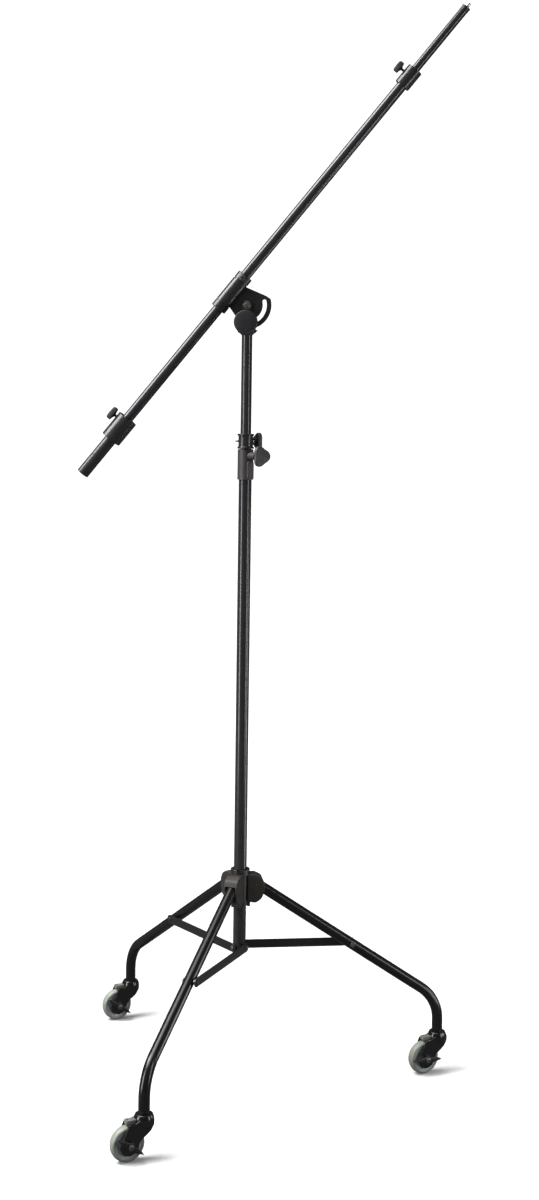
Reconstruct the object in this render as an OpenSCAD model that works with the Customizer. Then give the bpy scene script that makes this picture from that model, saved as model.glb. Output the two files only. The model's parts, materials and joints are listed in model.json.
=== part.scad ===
// Boom microphone stand on a folding tripod with braked casters.
// The boom lies in the XZ plane and rises towards +X. +Z is up, and the wheels stand on z = 0.
// Every part is laid out round the column's axis, then shifted so that the
// middle of the stand's footprint box is the origin.

/* [Column] */
// Diameter of the outer column tube
column_d = 30; // [28:1:32]
// Height of the foot of the outer column tube
column_foot_z = 292.7; // [287:0.1:294]
// Height of the top of the clamp housing
clamp_top_z = 1462.7; // [1300:0.1:1600]
// Diameter of the inner column tube
inner_d = 25; // [22:0.5:25]
// Length of the inner tube that shows above the stop collar
inner_shown = 229; // [150:1:400]
// Turn of the column clamp knob about the column
clamp_knob_turn = -44; // [-80:1:-10]
// Turn of the stop collar knob about the column
collar_knob_turn = 31; // [10:1:80]

/* [Tripod] */
// Turn of the first leg away from the boom
leg_turn = 11.4; // [0:0.1:30]
// Diameter of the leg tubes
leg_d = 25; // [22:0.5:26]
// Slope of the legs below level
leg_slope = 32.8; // [30:0.1:36]
// Height at which the leg axes would cross the column's axis
leg_cross_z = 475; // [470:0.1:480]
// Distance of the upright leg ends from the column's axis
foot_r = 472; // [440:1:500]
// Distance of the leg pivots from the column's axis
hub_pivot_r = 37; // [37:0.5:40]
// Height of the strut pivots
strut_z = 303.8; // [302:0.1:306]

/* [Casters] */
// Diameter of the wheels
wheel_d = 75; // [70:1:75]
// Width of the tyres
tyre_w = 22; // [18:1:24]
// Distance of each axle behind its swivel
trail = 37; // [35:1:40]
// Direction in which the wheels trail
trail_turn = 210.6; // [0:0.1:360]
// Tilt of a brake rocker that is pressed down
rocker_tilt = 34; // [20:1:36]

/* [Boom] */
// Rise of the boom above level
boom_rise = 51; // [45:0.5:55]
// Diameter of the outer boom tube
boom_d = 25.4; // [24:0.2:26]
// Diameter of the boom extension
extension_d = 20; // [18:0.5:20.5]
// Distance of the boom's axis from the tilt pivot
boom_offset = 47; // [45:0.5:50]
// Distance of the boom's tail end from the tilt pivot, along the boom
tail_u = 551; // [520:1:600]
// Distance of the boom tip's cap from the tilt pivot, along the boom
tip_u = 851; // [800:1:950]
// Diameter of the counterweight
weight_d = 49.6; // [44:0.2:52]
// Length of the counterweight
weight_len = 63; // [50:1:70]

/* [Hidden] */
$fn = 96;
play = 0.05;          // radial play of a running fit
face_gap = 0.3;       // gap between faces of pieces that move past each other
touch = 0.02;         // radial gap between fixed pieces
column_wall = 1.5;
column_r = column_d / 2;
column_bore_r = column_r - column_wall;
inner_r = inner_d / 2;
inner_wall = 1.5;
inner_bore_r = inner_r - inner_wall;

// Clamp housing and stop collar
housing_r = 18.5;
housing_len = 70.5;
housing_z = clamp_top_z - housing_len;
column_top_z = housing_z + 34.5;
bush_len = 30;
clamp_knob_z = clamp_top_z - 15;
clamp_boss_r = 9;
clamp_boss_end = 38;
clamp_knob_in = 51;
clamp_knob_out = 62.3;
lobe_knob_r = 25.6;
bolt_r = 4;
collar_gap = 1.4;
collar_z = clamp_top_z + collar_gap;
collar_len = 34.6;
collar_flange_r = 19.5;
collar_flange_h = 4.5;
collar_waist_r = 17;
collar_knob_in = 26;
collar_knob_out = 37;
collar_knob_r = 22;
inner_top_z = collar_z + collar_len + inner_shown;
inner_len = 995;
inner_foot_z = inner_top_z - inner_len;

// Head
flange_r = 22.3;
flange_h = 5;
taper_h = 8;
yoke_w = 34;
yoke_front = -2.2;
yoke_back = 9.8;
pivot_z = inner_top_z + 71;
plate_t = 5;
plate_back = yoke_front - face_gap;
boom_y = plate_back - plate_t / 2;
plate_front = plate_back - plate_t;
pivot_bolt_r = 5;
slot_r = 41;
slot_w = 9.5;
plate_r = 56.5;
tilt_knob_r = 27.5;
tilt_knob_in = -24.5;
tilt_knob_out = -45;
washer_r = 11;

// Boom pieces, as distances along the boom from the tilt pivot
sleeve_half = 31.5;
bush_out = 50.5;
sleeve_r = 19;
sleeve_bore_r = 16;
boom_r = boom_d / 2;
boom_bore_r = boom_r - 1.7;
extension_r = extension_d / 2;
extension_wall = 1.5;
collar_in_u = 617.5;
boom_collar_len = 49;
boom_collar_r = 18.8;
boom_end_u = collar_in_u + 24;
tail_len = 104;
tail_r = 14.8;
weight_in_u = -tail_u + tail_len + 1;
stud_len = 11;
stud_r = 4.76;
stud_root_r = 4;
cap_len = 11.7;
extension_tail_u = 20;
thumb_bolt_r = 3;
lock_screw_u = 42;

// Leg pieces
leg_r = leg_d / 2;
leg_wall = 1.5;
leg_bend_r = 87;
draw_in = 0.05;       // how much the tube draws in where it is bent
leg_foot_z = 94.7;
hub_pivot_z = leg_cross_z - hub_pivot_r * tan(leg_slope);
foot_corner_z = leg_cross_z - foot_r * tan(leg_slope);
bend_angle = 90 - leg_slope;
bend_reach = leg_bend_r * tan(bend_angle / 2);
strut_r = (leg_cross_z - strut_z) / tan(leg_slope);
pin_r = 3;
hub_bore_r = column_r + 0.1;
hub_ring_r = 22.3;
hub_top_z = leg_cross_z + 11.2;
hub_core_r = 20;
ear_gap = leg_d + 1;
cheek_t = 3.8;
ear_w = ear_gap + 2 * cheek_t;
strut_in = 16.8;
strut_t = 3;
strut_out = strut_in + strut_t;
strut_h = 20;
rivet_r = 2.5;

// Caster pieces
wheel_r = wheel_d / 2;
core_r = 28;
dome_r = 22;
dome_z = 81.3;
fork_top_z = leg_foot_z - 0.6;
plate_in = 13;
fork_t = 4;
plate_end = plate_in + fork_t;
rocker_in = plate_end + 0.6;
rocker_t = 8;
rocker_out = rocker_in + rocker_t;
rocker_half = 36;
axle_r = 4;
stem_r = 5;
stem_top_z = 118.7;
// Tilt of each rocker in turn: level on the first caster, pressed down on the others
rocker_tilts = [2, rocker_tilt, rocker_tilt];

// Middle of the footprint box
function leg_dir(k) = leg_turn + 120 * k;
function boom_x(u, r) = u * cos(boom_rise) - boom_offset * sin(boom_rise) + r * sin(boom_rise);
trail_back = trail_turn - 180;
x_high = boom_x(tip_u + stud_len, stud_r);
x_low = boom_x(-tail_u, -tail_r);
y_high = foot_r * sin(leg_dir(1)) + dome_r;
rocker_reach = rocker_half * cos(rocker_tilt) * sin(trail_back) + rocker_out * cos(trail_back);
y_low = foot_r * sin(leg_dir(2)) - trail * sin(trail_back) - rocker_reach;
mid_x = (x_high + x_low) / 2;
mid_y = (y_high + y_low) / 2;

// ---------------------------------------------------------------- placing

// Puts the middle of the footprint box at the origin
module stand() {
    translate([-mid_x, -mid_y, 0])
    children();
}

// Radial direction of leg k along +X, column axis as Z
module leg_place(k) {
    stand()
    rotate([0, 0, leg_dir(k)])
    children();
}

// Swivel axis of caster k as Z, the wheel trailing along +X
module caster_place(k) {
    stand()
    rotate([0, 0, leg_dir(k)])
    translate([foot_r, 0, 0])
    rotate([0, 0, trail_turn - leg_dir(k)])
    children();
}

// Tilt pivot at the origin, +X up along the boom, the boom's axis at z = boom_offset
module boom_place() {
    stand()
    translate([0, 0, pivot_z])
    rotate([0, -boom_rise, 0])
    children();
}

// ---------------------------------------------------------------- shapes

module tube(r, bore, z1, z2) {
    translate([0, 0, z1])
    difference() {
        cylinder(h = z2 - z1, r = r);
        translate([0, 0, -1])
        cylinder(h = z2 - z1 + 2, r = bore);
    }
}

// Round bar along +X from x1 to x2
module bar_x(r, x1, x2) {
    translate([x1, 0, 0])
    rotate([0, 90, 0])
    cylinder(h = x2 - x1, r = r);
}

// Round bar along +Y from y1 to y2
module bar_y(r, y1, y2) {
    translate([0, y2, 0])
    rotate([90, 0, 0])
    cylinder(h = y2 - y1, r = r);
}

// Tube along +X
module tube_x(r, bore, x1, x2) {
    difference() {
        bar_x(r, x1, x2);
        bar_x(bore, x1 - 1, x2 + 1);
    }
}

// Flat-topped knob outline with three round lobes
module lobe_outline(r) {
    lobe_r = r * 0.4;
    circle(r = r * 0.74);
    for (a = [0, 120, 240]) {
        rotate(a)
        translate([r - lobe_r, 0])
        circle(r = lobe_r);
    }
}

// Three-lobed knob on a short hub, its axis along +X and its outer face at x_out
module lobe_knob(r, x_in, x_out, hub_r, bore) {
    difference() {
        union() {
            translate([x_in, 0, 0])
            rotate([0, 90, 0])
            linear_extrude(height = x_out - x_in)
            lobe_outline(r);
            bar_x(hub_r, x_in - 6, x_in + 1);
        }
        bar_x(bore, x_in - 7, x_out - 3);
    }
}

// Thumbscrew with a round head on a tapered neck, its axis along +Z
module thumbscrew(head_r, tip_z, head_z, top_z) {
    neck_h = 3;
    crown = 1.5;
    translate([0, 0, tip_z])
    cylinder(h = head_z - tip_z, r = thumb_bolt_r);
    translate([0, 0, head_z - neck_h])
    cylinder(h = neck_h, r1 = thumb_bolt_r + 1.5, r2 = head_r * 0.55);
    translate([0, 0, head_z])
    cylinder(h = top_z - head_z - crown, r = head_r);
    translate([0, 0, top_z - crown])
    cylinder(h = crown, r1 = head_r, r2 = head_r - crown);
}

// ---------------------------------------------------------------- column

module column_tube() {
    color("#17171a")
    stand()
    difference() {
        tube(column_r, column_bore_r, column_foot_z, column_top_z);
        for (k = [0:2]) {
            rotate([0, 0, leg_dir(k)])
            translate([0, 0, strut_z])
            bar_y(rivet_r + touch, 0, column_r + 1);
        }
    }
}

module column_plug() {
    plug_h = 25;
    rivet_depth = 6;
    color("#2a2a2c")
    stand()
    difference() {
        translate([0, 0, column_foot_z])
        cylinder(h = plug_h, r = column_bore_r - touch);
        for (k = [0:2]) {
            rotate([0, 0, leg_dir(k)])
            translate([0, 0, strut_z])
            bar_y(rivet_r + touch, rivet_depth, column_r);
        }
    }
}

// One rivet through the foot of each strut, with a shoulder that spaces it off the column
module strut_pivot_rivets() {
    head_r = 5;
    head_h = 2.4;
    shoulder_r = 4;
    for (k = [0:2]) {
        color("#3a3a3c")
        leg_place(k)
        translate([0, 0, strut_z]) {
            bar_y(rivet_r, 6.5, strut_out + face_gap + 0.5);
            bar_y(shoulder_r, column_r + 0.1, strut_in - face_gap);
            bar_y(head_r, strut_out + face_gap, strut_out + face_gap + head_h);
        }
    }
}

module clamp_housing() {
    lip_h = 2;
    color("#4a474a")
    stand()
    difference() {
        union() {
            translate([0, 0, housing_z])
            cylinder(h = housing_len, r = housing_r);
            translate([0, 0, housing_z])
            cylinder(h = lip_h, r = housing_r + 0.4);
            translate([0, 0, clamp_knob_z])
            rotate([0, 0, clamp_knob_turn])
            bar_x(clamp_boss_r, 10, clamp_boss_end);
        }
        translate([0, 0, housing_z - 1])
        cylinder(h = column_top_z - housing_z + 1, r = column_r + touch);
        translate([0, 0, column_top_z - 0.1])
        cylinder(h = clamp_top_z - column_top_z + 1, r = column_bore_r + 1.5);
        translate([0, 0, clamp_knob_z])
        rotate([0, 0, clamp_knob_turn])
        bar_x(bolt_r + play, 8, clamp_boss_end + 1);
    }
}

// Plastic bush that the clamp bolt presses against the inner tube
module column_bush() {
    color("#222225")
    stand()
    tube(column_bore_r + 1.5 - touch, inner_r + play, clamp_top_z - bush_len - 0.5, clamp_top_z - 0.5);
}

module clamp_knob() {
    color("#3c3a3d")
    stand()
    translate([0, 0, clamp_knob_z])
    rotate([0, 0, clamp_knob_turn])
    rotate([60, 0, 0])
    lobe_knob(lobe_knob_r, clamp_knob_in, clamp_knob_out, 8, bolt_r + touch);
}

module clamp_bolt() {
    color("#9a9a9c")
    stand()
    translate([0, 0, clamp_knob_z])
    rotate([0, 0, clamp_knob_turn])
    bar_x(bolt_r, column_bore_r + 1.5 + face_gap, clamp_knob_out - 3.1);
}

// Glide on the lower end of the inner tube, running in the outer tube
module column_glide() {
    glide_h = 30;
    spigot_h = 25;
    color("#222225")
    stand()
    union() {
        translate([0, 0, inner_foot_z - glide_h])
        cylinder(h = glide_h - face_gap, r = column_bore_r - play);
        translate([0, 0, inner_foot_z - 1])
        cylinder(h = spigot_h, r = inner_bore_r - play);
    }
}

module inner_column() {
    color("#1c1c1f")
    stand()
    tube(inner_r, inner_bore_r, inner_foot_z, inner_top_z);
}

module stop_collar() {
    color("#2b2a2e")
    stand()
    difference() {
        union() {
            translate([0, 0, collar_z])
            cylinder(h = collar_len, r = collar_waist_r);
            translate([0, 0, collar_z])
            cylinder(h = collar_flange_h, r = collar_flange_r);
            translate([0, 0, collar_z + collar_len - collar_flange_h])
            cylinder(h = collar_flange_h, r = collar_flange_r);
        }
        translate([0, 0, collar_z - 1])
        cylinder(h = collar_len + 2, r = inner_r + play);
        translate([0, 0, collar_z + collar_len / 2]) {
            rotate([0, 0, collar_knob_turn])
            bar_x(bolt_r + play, 8, collar_flange_r + 1);
            rotate([0, 0, collar_knob_turn + 155])
            bar_x(1.6 + touch, inner_r + 1.5, collar_flange_r + 1);
        }
    }
}

// Rivet that stands out of the collar opposite its knob
module collar_rivet() {
    color("#1b1b1d")
    stand()
    translate([0, 0, collar_z + collar_len / 2])
    rotate([0, 0, collar_knob_turn + 155])
    union() {
        bar_x(1.6, inner_r + 1.6, 24.6);
        bar_x(2.6, collar_waist_r + 0.1, collar_waist_r + 2.2);
    }
}

module collar_knob() {
    color("#3c3a3d")
    stand()
    translate([0, 0, collar_z + collar_len / 2])
    rotate([0, 0, collar_knob_turn])
    rotate([-60, 0, 0])
    lobe_knob(collar_knob_r, collar_knob_in, collar_knob_out, 7, bolt_r + touch);
}

module collar_bolt() {
    color("#9a9a9c")
    stand()
    translate([0, 0, collar_z + collar_len / 2])
    rotate([0, 0, collar_knob_turn])
    bar_x(bolt_r, inner_r + face_gap, collar_knob_out - 3.1);
}

// ---------------------------------------------------------------- head

module head_yoke() {
    spigot_len = 45;
    foot_fillet = 7;
    yoke_mid = (yoke_front + yoke_back) / 2;
    yoke_t = yoke_back - yoke_front;
    fillet_z = inner_top_z + taper_h + flange_h + foot_fillet;
    color("#222124")
    stand()
    difference() {
        union() {
            translate([0, 0, inner_top_z - spigot_len])
            cylinder(h = spigot_len + 1, r = inner_bore_r - touch);
            translate([0, 0, inner_top_z + touch])
            cylinder(h = taper_h, r1 = inner_r + 0.6, r2 = flange_r - 2);
            translate([0, 0, inner_top_z + taper_h])
            cylinder(h = flange_h, r = flange_r);
            // Upright with hollow flares at its foot and a round top
            translate([0, yoke_back, 0])
            rotate([90, 0, 0])
            linear_extrude(height = yoke_t)
            difference() {
                union() {
                    translate([-yoke_w / 2 - foot_fillet / 2, inner_top_z + taper_h])
                    square([yoke_w + foot_fillet, flange_h + foot_fillet]);
                    translate([-yoke_w / 2, inner_top_z + taper_h])
                    square([yoke_w, pivot_z - inner_top_z - taper_h]);
                    translate([0, pivot_z])
                    circle(d = yoke_w);
                }
                for (s = [-1, 1]) {
                    translate([s * (yoke_w / 2 + foot_fillet), fillet_z])
                    circle(r = foot_fillet);
                }
            }
        }
        translate([0, yoke_mid, pivot_z])
        bar_y(pivot_bolt_r + touch, -yoke_t, yoke_t);
        translate([0, yoke_mid, pivot_z - slot_r])
        bar_y(bolt_r + play, -yoke_t, yoke_t);
    }
}

// Pivot bolt with a nut and washer on the plate's front and a hexagon head behind the yoke
module pivot_bolt() {
    nut_r = 9.8;
    washer_t = 1.4;
    nut_h = 6;
    washer_y = plate_front - 0.3;
    color("#4b4b45")
    stand()
    translate([0, 0, pivot_z]) {
        bar_y(pivot_bolt_r, washer_y - washer_t - nut_h - 1.2, yoke_back + 1);
        bar_y(washer_r - 0.5, washer_y - washer_t, washer_y);
        translate([0, washer_y - washer_t, 0])
        rotate([90, 0, 0])
        cylinder(h = nut_h, r = nut_r, $fn = 6);
        translate([0, yoke_back + 6.5, 0])
        rotate([90, 0, 0])
        cylinder(h = 6.5 - touch, r = nut_r, $fn = 6);
    }
}

module tilt_knob() {
    rim = 2;
    hub_gap = 2.7;
    bore = bolt_r + touch;
    color("#2e2f33")
    stand()
    translate([0, 0, pivot_z - slot_r])
    rotate([90, 0, 0])
    difference() {
        union() {
            translate([0, 0, -tilt_knob_in])
            cylinder(h = rim, r1 = tilt_knob_r - rim, r2 = tilt_knob_r);
            translate([0, 0, rim - tilt_knob_in])
            cylinder(h = tilt_knob_in - tilt_knob_out - 2 * rim, r = tilt_knob_r);
            translate([0, 0, -tilt_knob_out - rim])
            cylinder(h = rim, r1 = tilt_knob_r, r2 = tilt_knob_r - rim);
            translate([0, 0, hub_gap - plate_front])
            cylinder(h = plate_front - hub_gap - tilt_knob_in + 1, r = washer_r);
        }
        translate([0, 0, -plate_front])
        cylinder(h = plate_front - tilt_knob_out - 6, r = bore);
    }
}

// Bolt of the tilt knob: it passes the plate's slot and screws into the yoke
module tilt_bolt() {
    color("#9a9a9c")
    stand()
    translate([0, 0, pivot_z - slot_r])
    union() {
        bar_y(bolt_r, tilt_knob_out + 6.2, yoke_back);
        bar_y(washer_r, plate_front - 1.8, plate_front - face_gap);
    }
}

// Sleeve round the boom's bushes, folded from one sheet with the slotted plate
module boom_clamp() {
    top_half = sleeve_half - 0.6;
    edge_half = 46;
    edge_z = -25;
    slot_half = boom_rise;
    color("#1d1c20")
    boom_place()
    difference() {
        union() {
            translate([0, boom_y, boom_offset])
            bar_x(sleeve_r, -sleeve_half, sleeve_half);
            translate([0, plate_back, 0])
            rotate([90, 0, 0])
            linear_extrude(height = plate_t)
            difference() {
                intersection() {
                    polygon([
                        [-top_half, boom_offset], [-top_half, boom_offset - sleeve_r],
                        [-edge_half, edge_z], [-edge_half, -plate_r - 1],
                        [edge_half, -plate_r - 1], [edge_half, edge_z],
                        [top_half, boom_offset - sleeve_r], [top_half, boom_offset]
                    ]);
                    union() {
                        circle(r = plate_r);
                        translate([-sleeve_half, 0])
                        square([2 * sleeve_half, boom_offset + 1]);
                    }
                }
                // Arc slot round the pivot, open to the knob's bolt through the whole tilt
                difference() {
                    intersection() {
                        circle(r = slot_r + slot_w / 2);
                        polygon([
                            [0, 0],
                            [-2 * plate_r * sin(slot_half), -2 * plate_r * cos(slot_half)],
                            [0, -3 * plate_r],
                            [2 * plate_r * sin(slot_half), -2 * plate_r * cos(slot_half)]
                        ]);
                    }
                    circle(r = slot_r - slot_w / 2);
                }
                for (s = [-1, 1]) {
                    rotate(s * slot_half)
                    translate([0, -slot_r])
                    circle(d = slot_w - 0.1);
                }
            }
        }
        translate([0, boom_y, boom_offset])
        bar_x(sleeve_bore_r, -sleeve_half - 1, sleeve_half + 1);
        translate([0, boom_y, 0])
        bar_y(pivot_bolt_r + play, -plate_t, plate_t);
    }
}

// Two flanged bushes that the boom slides in, pressed into the sleeve's ends
module boom_bushes() {
    spigot = 18;
    color("#262529")
    boom_place()
    translate([0, boom_y, boom_offset])
    difference() {
        for (s = [0, 1]) {
            mirror([s, 0, 0])
            union() {
                bar_x(sleeve_r, sleeve_half + touch, bush_out);
                bar_x(sleeve_bore_r - touch, sleeve_half - spigot, sleeve_half + 1);
            }
        }
        bar_x(boom_r + play, -bush_out - 1, bush_out + 1);
        translate([lock_screw_u, 0, 0])
        bar_y(thumb_bolt_r + touch, -sleeve_r - 1, 0);
    }
}

// Button-head screw in the front of the upper bush
module boom_lock_screw() {
    head_r = 7.8;
    head_h = 3.2;
    color("#55554f")
    boom_place()
    translate([lock_screw_u, boom_y, boom_offset])
    union() {
        bar_y(thumb_bolt_r, -sleeve_r - 0.5, -boom_r - face_gap);
        bar_y(head_r, -sleeve_r - head_h, -sleeve_r - touch);
    }
}

// ---------------------------------------------------------------- boom

module boom_tube() {
    color("#1a1a1d")
    boom_place()
    translate([0, boom_y, boom_offset])
    tube_x(boom_r, boom_bore_r, -tail_u + 3, boom_end_u);
}

module boom_collar() {
    color("#26252a")
    boom_place()
    translate([0, boom_y, boom_offset])
    difference() {
        bar_x(boom_collar_r, collar_in_u, collar_in_u + boom_collar_len);
        bar_x(boom_r + touch, collar_in_u - 1, boom_end_u + touch);
        bar_x(extension_r + play, boom_end_u - 1, collar_in_u + boom_collar_len + 1);
        translate([collar_in_u + boom_collar_len / 2 + 5, 0, 0])
        cylinder(h = boom_collar_r + 1, r = thumb_bolt_r + play);
    }
}

module boom_thumbscrew() {
    color("#38383a")
    boom_place()
    translate([collar_in_u + boom_collar_len / 2 + 5, boom_y, boom_offset])
    thumbscrew(14.2, extension_r + face_gap, 28, 40);
}

module boom_extension() {
    color("#1f1e21")
    boom_place()
    translate([0, boom_y, boom_offset])
    tube_x(extension_r, extension_r - extension_wall, extension_tail_u, tip_u - cap_len);
}

// Plug on the hidden end of the extension that centres it in the boom
module extension_glide() {
    glide_len = 18;
    spigot_r = extension_r - extension_wall - touch;
    color("#222225")
    boom_place()
    translate([0, boom_y, boom_offset])
    union() {
        bar_x(boom_bore_r - play, extension_tail_u - glide_len, extension_tail_u - touch);
        bar_x(spigot_r, extension_tail_u - 1, extension_tail_u + glide_len);
    }
}

module boom_end_cap() {
    cap_r = extension_r + 0.3;
    rim_h = 3;
    color("#19191b")
    boom_place()
    translate([0, boom_y, boom_offset])
    difference() {
        union() {
            bar_x(cap_r, tip_u - cap_len + touch, tip_u);
            bar_x(cap_r + 0.7, tip_u - rim_h, tip_u);
            bar_x(extension_r - extension_wall - touch, tip_u - cap_len - 18, tip_u - cap_len + 1);
        }
        bar_x(stud_root_r + touch, tip_u - 16, tip_u + 1);
    }
}

// Stud that a microphone clip screws onto
module mic_stud() {
    color("#c4c4c0")
    boom_place()
    translate([0, boom_y, boom_offset])
    union() {
        bar_x(stud_root_r, tip_u - 15.9, tip_u + 0.5);
        bar_x(stud_r, tip_u + touch, tip_u + stud_len);
    }
}

module counterweight() {
    chamfer = 1;
    color("#242327")
    boom_place()
    translate([weight_in_u, boom_y, boom_offset])
    difference() {
        union() {
            bar_x(weight_d / 2, chamfer, weight_len - chamfer);
            bar_x(weight_d / 2 - chamfer, 0, weight_len);
        }
        bar_x(boom_r + play, -1, weight_len + 1);
        translate([weight_len - 13.7, 0, 0])
        cylinder(h = weight_d / 2 + 1, r = thumb_bolt_r + play);
    }
}

module weight_thumbscrew() {
    color("#38383a")
    boom_place()
    translate([weight_in_u + weight_len - 13.7, boom_y, boom_offset])
    thumbscrew(16, boom_r + face_gap, 31, 42.8);
}

module tail_sleeve() {
    ring_u = 53;
    ring_r = 0.5;
    color("#232226")
    boom_place()
    translate([0, boom_y, boom_offset])
    difference() {
        bar_x(tail_r, -tail_u, -tail_u + tail_len);
        bar_x(boom_r + touch, -tail_u + 3 - touch, -tail_u + tail_len + 1);
        tube_x(tail_r + 1, tail_r - ring_r, -tail_u + ring_u, -tail_u + ring_u + 1);
    }
}

// ---------------------------------------------------------------- tripod

// Side outline of a hub ear: x is the distance from the column's axis, y the height
module ear_outline() {
    polygon([
        [hub_bore_r + 2, hub_pivot_z + 24], [hub_pivot_r - 3, hub_pivot_z + 23.5],
        [hub_pivot_r + 4, hub_pivot_z + 21], [hub_pivot_r + 10, hub_pivot_z + 16.5],
        [hub_pivot_r + 15, hub_pivot_z + 10], [hub_pivot_r + 18.3, hub_pivot_z + 2],
        [hub_pivot_r + 19.4, hub_pivot_z - 8], [hub_pivot_r + 18, hub_pivot_z - 19],
        [hub_pivot_r + 14, hub_pivot_z - 29], [hub_pivot_r + 8, hub_pivot_z - 36.5],
        [hub_pivot_r, hub_pivot_z - 41], [hub_pivot_r - 9, hub_pivot_z - 41.5],
        [hub_bore_r + 2, hub_pivot_z - 38]
    ]);
}

// Room for a leg inside its ear: closed over the pivot, open below and outwards
module ear_room() {
    nose = leg_r + 1;
    depth = 62;
    reach = 60;
    peak = 4.3;
    translate([hub_pivot_r, hub_pivot_z])
    polygon([
        [-nose, -depth], [-nose, nose * 0.4], [-nose * 0.4, nose], [peak, nose],
        [reach, nose - (reach - peak) * tan(leg_slope)], [reach, -depth]
    ]);
}

module leg_hub() {
    back_r = hub_pivot_r - leg_r - 1;
    back_foot_z = hub_pivot_z - 51;
    color("#4d4843")
    stand()
    difference() {
        union() {
            translate([0, 0, hub_top_z - 14])
            cylinder(h = 14, r = hub_ring_r);
            translate([0, 0, hub_pivot_z - 8])
            cylinder(h = hub_top_z - hub_pivot_z - 2, r = hub_core_r);
            for (k = [0:2]) {
                rotate([0, 0, leg_dir(k)]) {
                    translate([0, ear_w / 2, 0])
                    rotate([90, 0, 0])
                    linear_extrude(height = ear_w)
                    ear_outline();
                    translate([hub_bore_r - 5, -ear_gap / 2 + 1, back_foot_z])
                    cube([back_r - hub_bore_r + 4.5, ear_gap - 2, hub_pivot_z - back_foot_z]);
                }
            }
        }
        for (k = [0:2]) {
            rotate([0, 0, leg_dir(k)])
            translate([0, ear_gap / 2, 0])
            rotate([90, 0, 0])
            linear_extrude(height = ear_gap)
            ear_room();
            rotate([0, 0, leg_dir(k)])
            translate([hub_pivot_r, 0, hub_pivot_z])
            bar_y(pin_r + touch, -ear_w / 2 - 1, ear_w / 2 + 1);
        }
        translate([0, 0, back_foot_z - 10])
        cylinder(h = 200, r = hub_bore_r);
    }
}

module leg_pivot_pins() {
    for (k = [0:2]) {
        color("#3a3a3c")
        leg_place(k)
        translate([hub_pivot_r, 0, hub_pivot_z])
        bar_y(pin_r, -ear_w / 2 + 0.1, ear_w / 2 - 0.1);
    }
}

// Solid run of a leg: slope, bend and upright end, with a given radius
module leg_run(r, over) {
    slope_len = (foot_r - hub_pivot_r) / cos(leg_slope) - bend_reach;
    translate([hub_pivot_r, 0, hub_pivot_z])
    rotate([0, leg_slope, 0])
    bar_x(r, -leg_r - over, slope_len + draw_in);
    translate([foot_r - leg_bend_r, 0, foot_corner_z - bend_reach])
    rotate([90, 0, 0])
    rotate_extrude(angle = bend_angle)
    translate([leg_bend_r, 0])
    circle(r = r - draw_in);
    translate([foot_r, 0, leg_foot_z - over])
    cylinder(h = foot_corner_z - bend_reach - leg_foot_z + over + draw_in, r = r);
}

module leg(k) {
    color("#171719")
    leg_place(k)
    difference() {
        leg_run(leg_r, 0);
        leg_run(leg_r - leg_wall, 1);
        // Round nose at the pivot
        translate([hub_pivot_r, 0, hub_pivot_z])
        rotate([0, leg_slope, 0])
        difference() {
            translate([-2 * leg_r, -leg_r - 1, -leg_r - 1])
            cube([2 * leg_r, leg_d + 2, leg_d + 2]);
            bar_y(leg_r, -leg_r - 2, leg_r + 2);
        }
        translate([hub_pivot_r, 0, hub_pivot_z])
        bar_y(pin_r + play, -leg_r - 1, leg_r + 1);
        translate([strut_r, 0, strut_z])
        bar_y(pin_r + touch, -leg_r - 1, leg_r + 1);
    }
}

// Bolt across a leg with a spacer that the strut's free end runs on
module leg_bolt(k) {
    color("#38383a")
    leg_place(k)
    translate([strut_r, 0, strut_z])
    union() {
        bar_y(pin_r, -leg_r - 1, strut_in - face_gap);
        bar_y(pin_r + 2.2, leg_r + touch, strut_in - face_gap);
        bar_y(pin_r + 2.4, -leg_r - 2.8, -leg_r - touch);
    }
}

// Plug in the upright leg end that the caster's stem turns in
module caster_socket(k) {
    socket_h = 27;
    color("#222225")
    leg_place(k)
    translate([foot_r, 0, 0])
    difference() {
        translate([0, 0, leg_foot_z + 0.2])
        cylinder(h = socket_h, r = leg_r - leg_wall - touch);
        translate([0, 0, leg_foot_z - 1])
        cylinder(h = stem_top_z - leg_foot_z + 2, r = stem_r + play);
    }
}

// Flat strut with round ends; a rivet head closes the hole at its outer end
module strut(k) {
    end_r = strut_h / 2;
    color("#2e2b29")
    leg_place(k)
    translate([0, 0, strut_z])
    union() {
        translate([0, strut_out, 0])
        rotate([90, 0, 0])
        linear_extrude(height = strut_t)
        difference() {
            union() {
                translate([0, -end_r])
                square([strut_r, strut_h]);
                circle(r = end_r);
                translate([strut_r, 0])
                circle(r = end_r);
            }
            circle(r = rivet_r + play);
        }
        translate([strut_r, 0, 0])
        bar_y(5, strut_out - 0.5, strut_out + 2.2);
    }
}

// ---------------------------------------------------------------- casters

// Side outline of a fork cheek: x runs back along the trail, y is the height
module cheek_outline() {
    polygon([
        [-17.5, 84], [-16.5, 74], [-12, 65.5], [-4, 57.5], [5, 50], [trail - 20, 42], [trail, 30],
        [trail + 19, 42], [trail + 12, 56], [trail + 8, 64], [trail + 5.5, 72], [trail + 3, 79],
        [trail - 3, 83], [14, 89.5], [-10, 89.5]
    ]);
    translate([trail, wheel_r])
    circle(r = 21.5);
}

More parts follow.
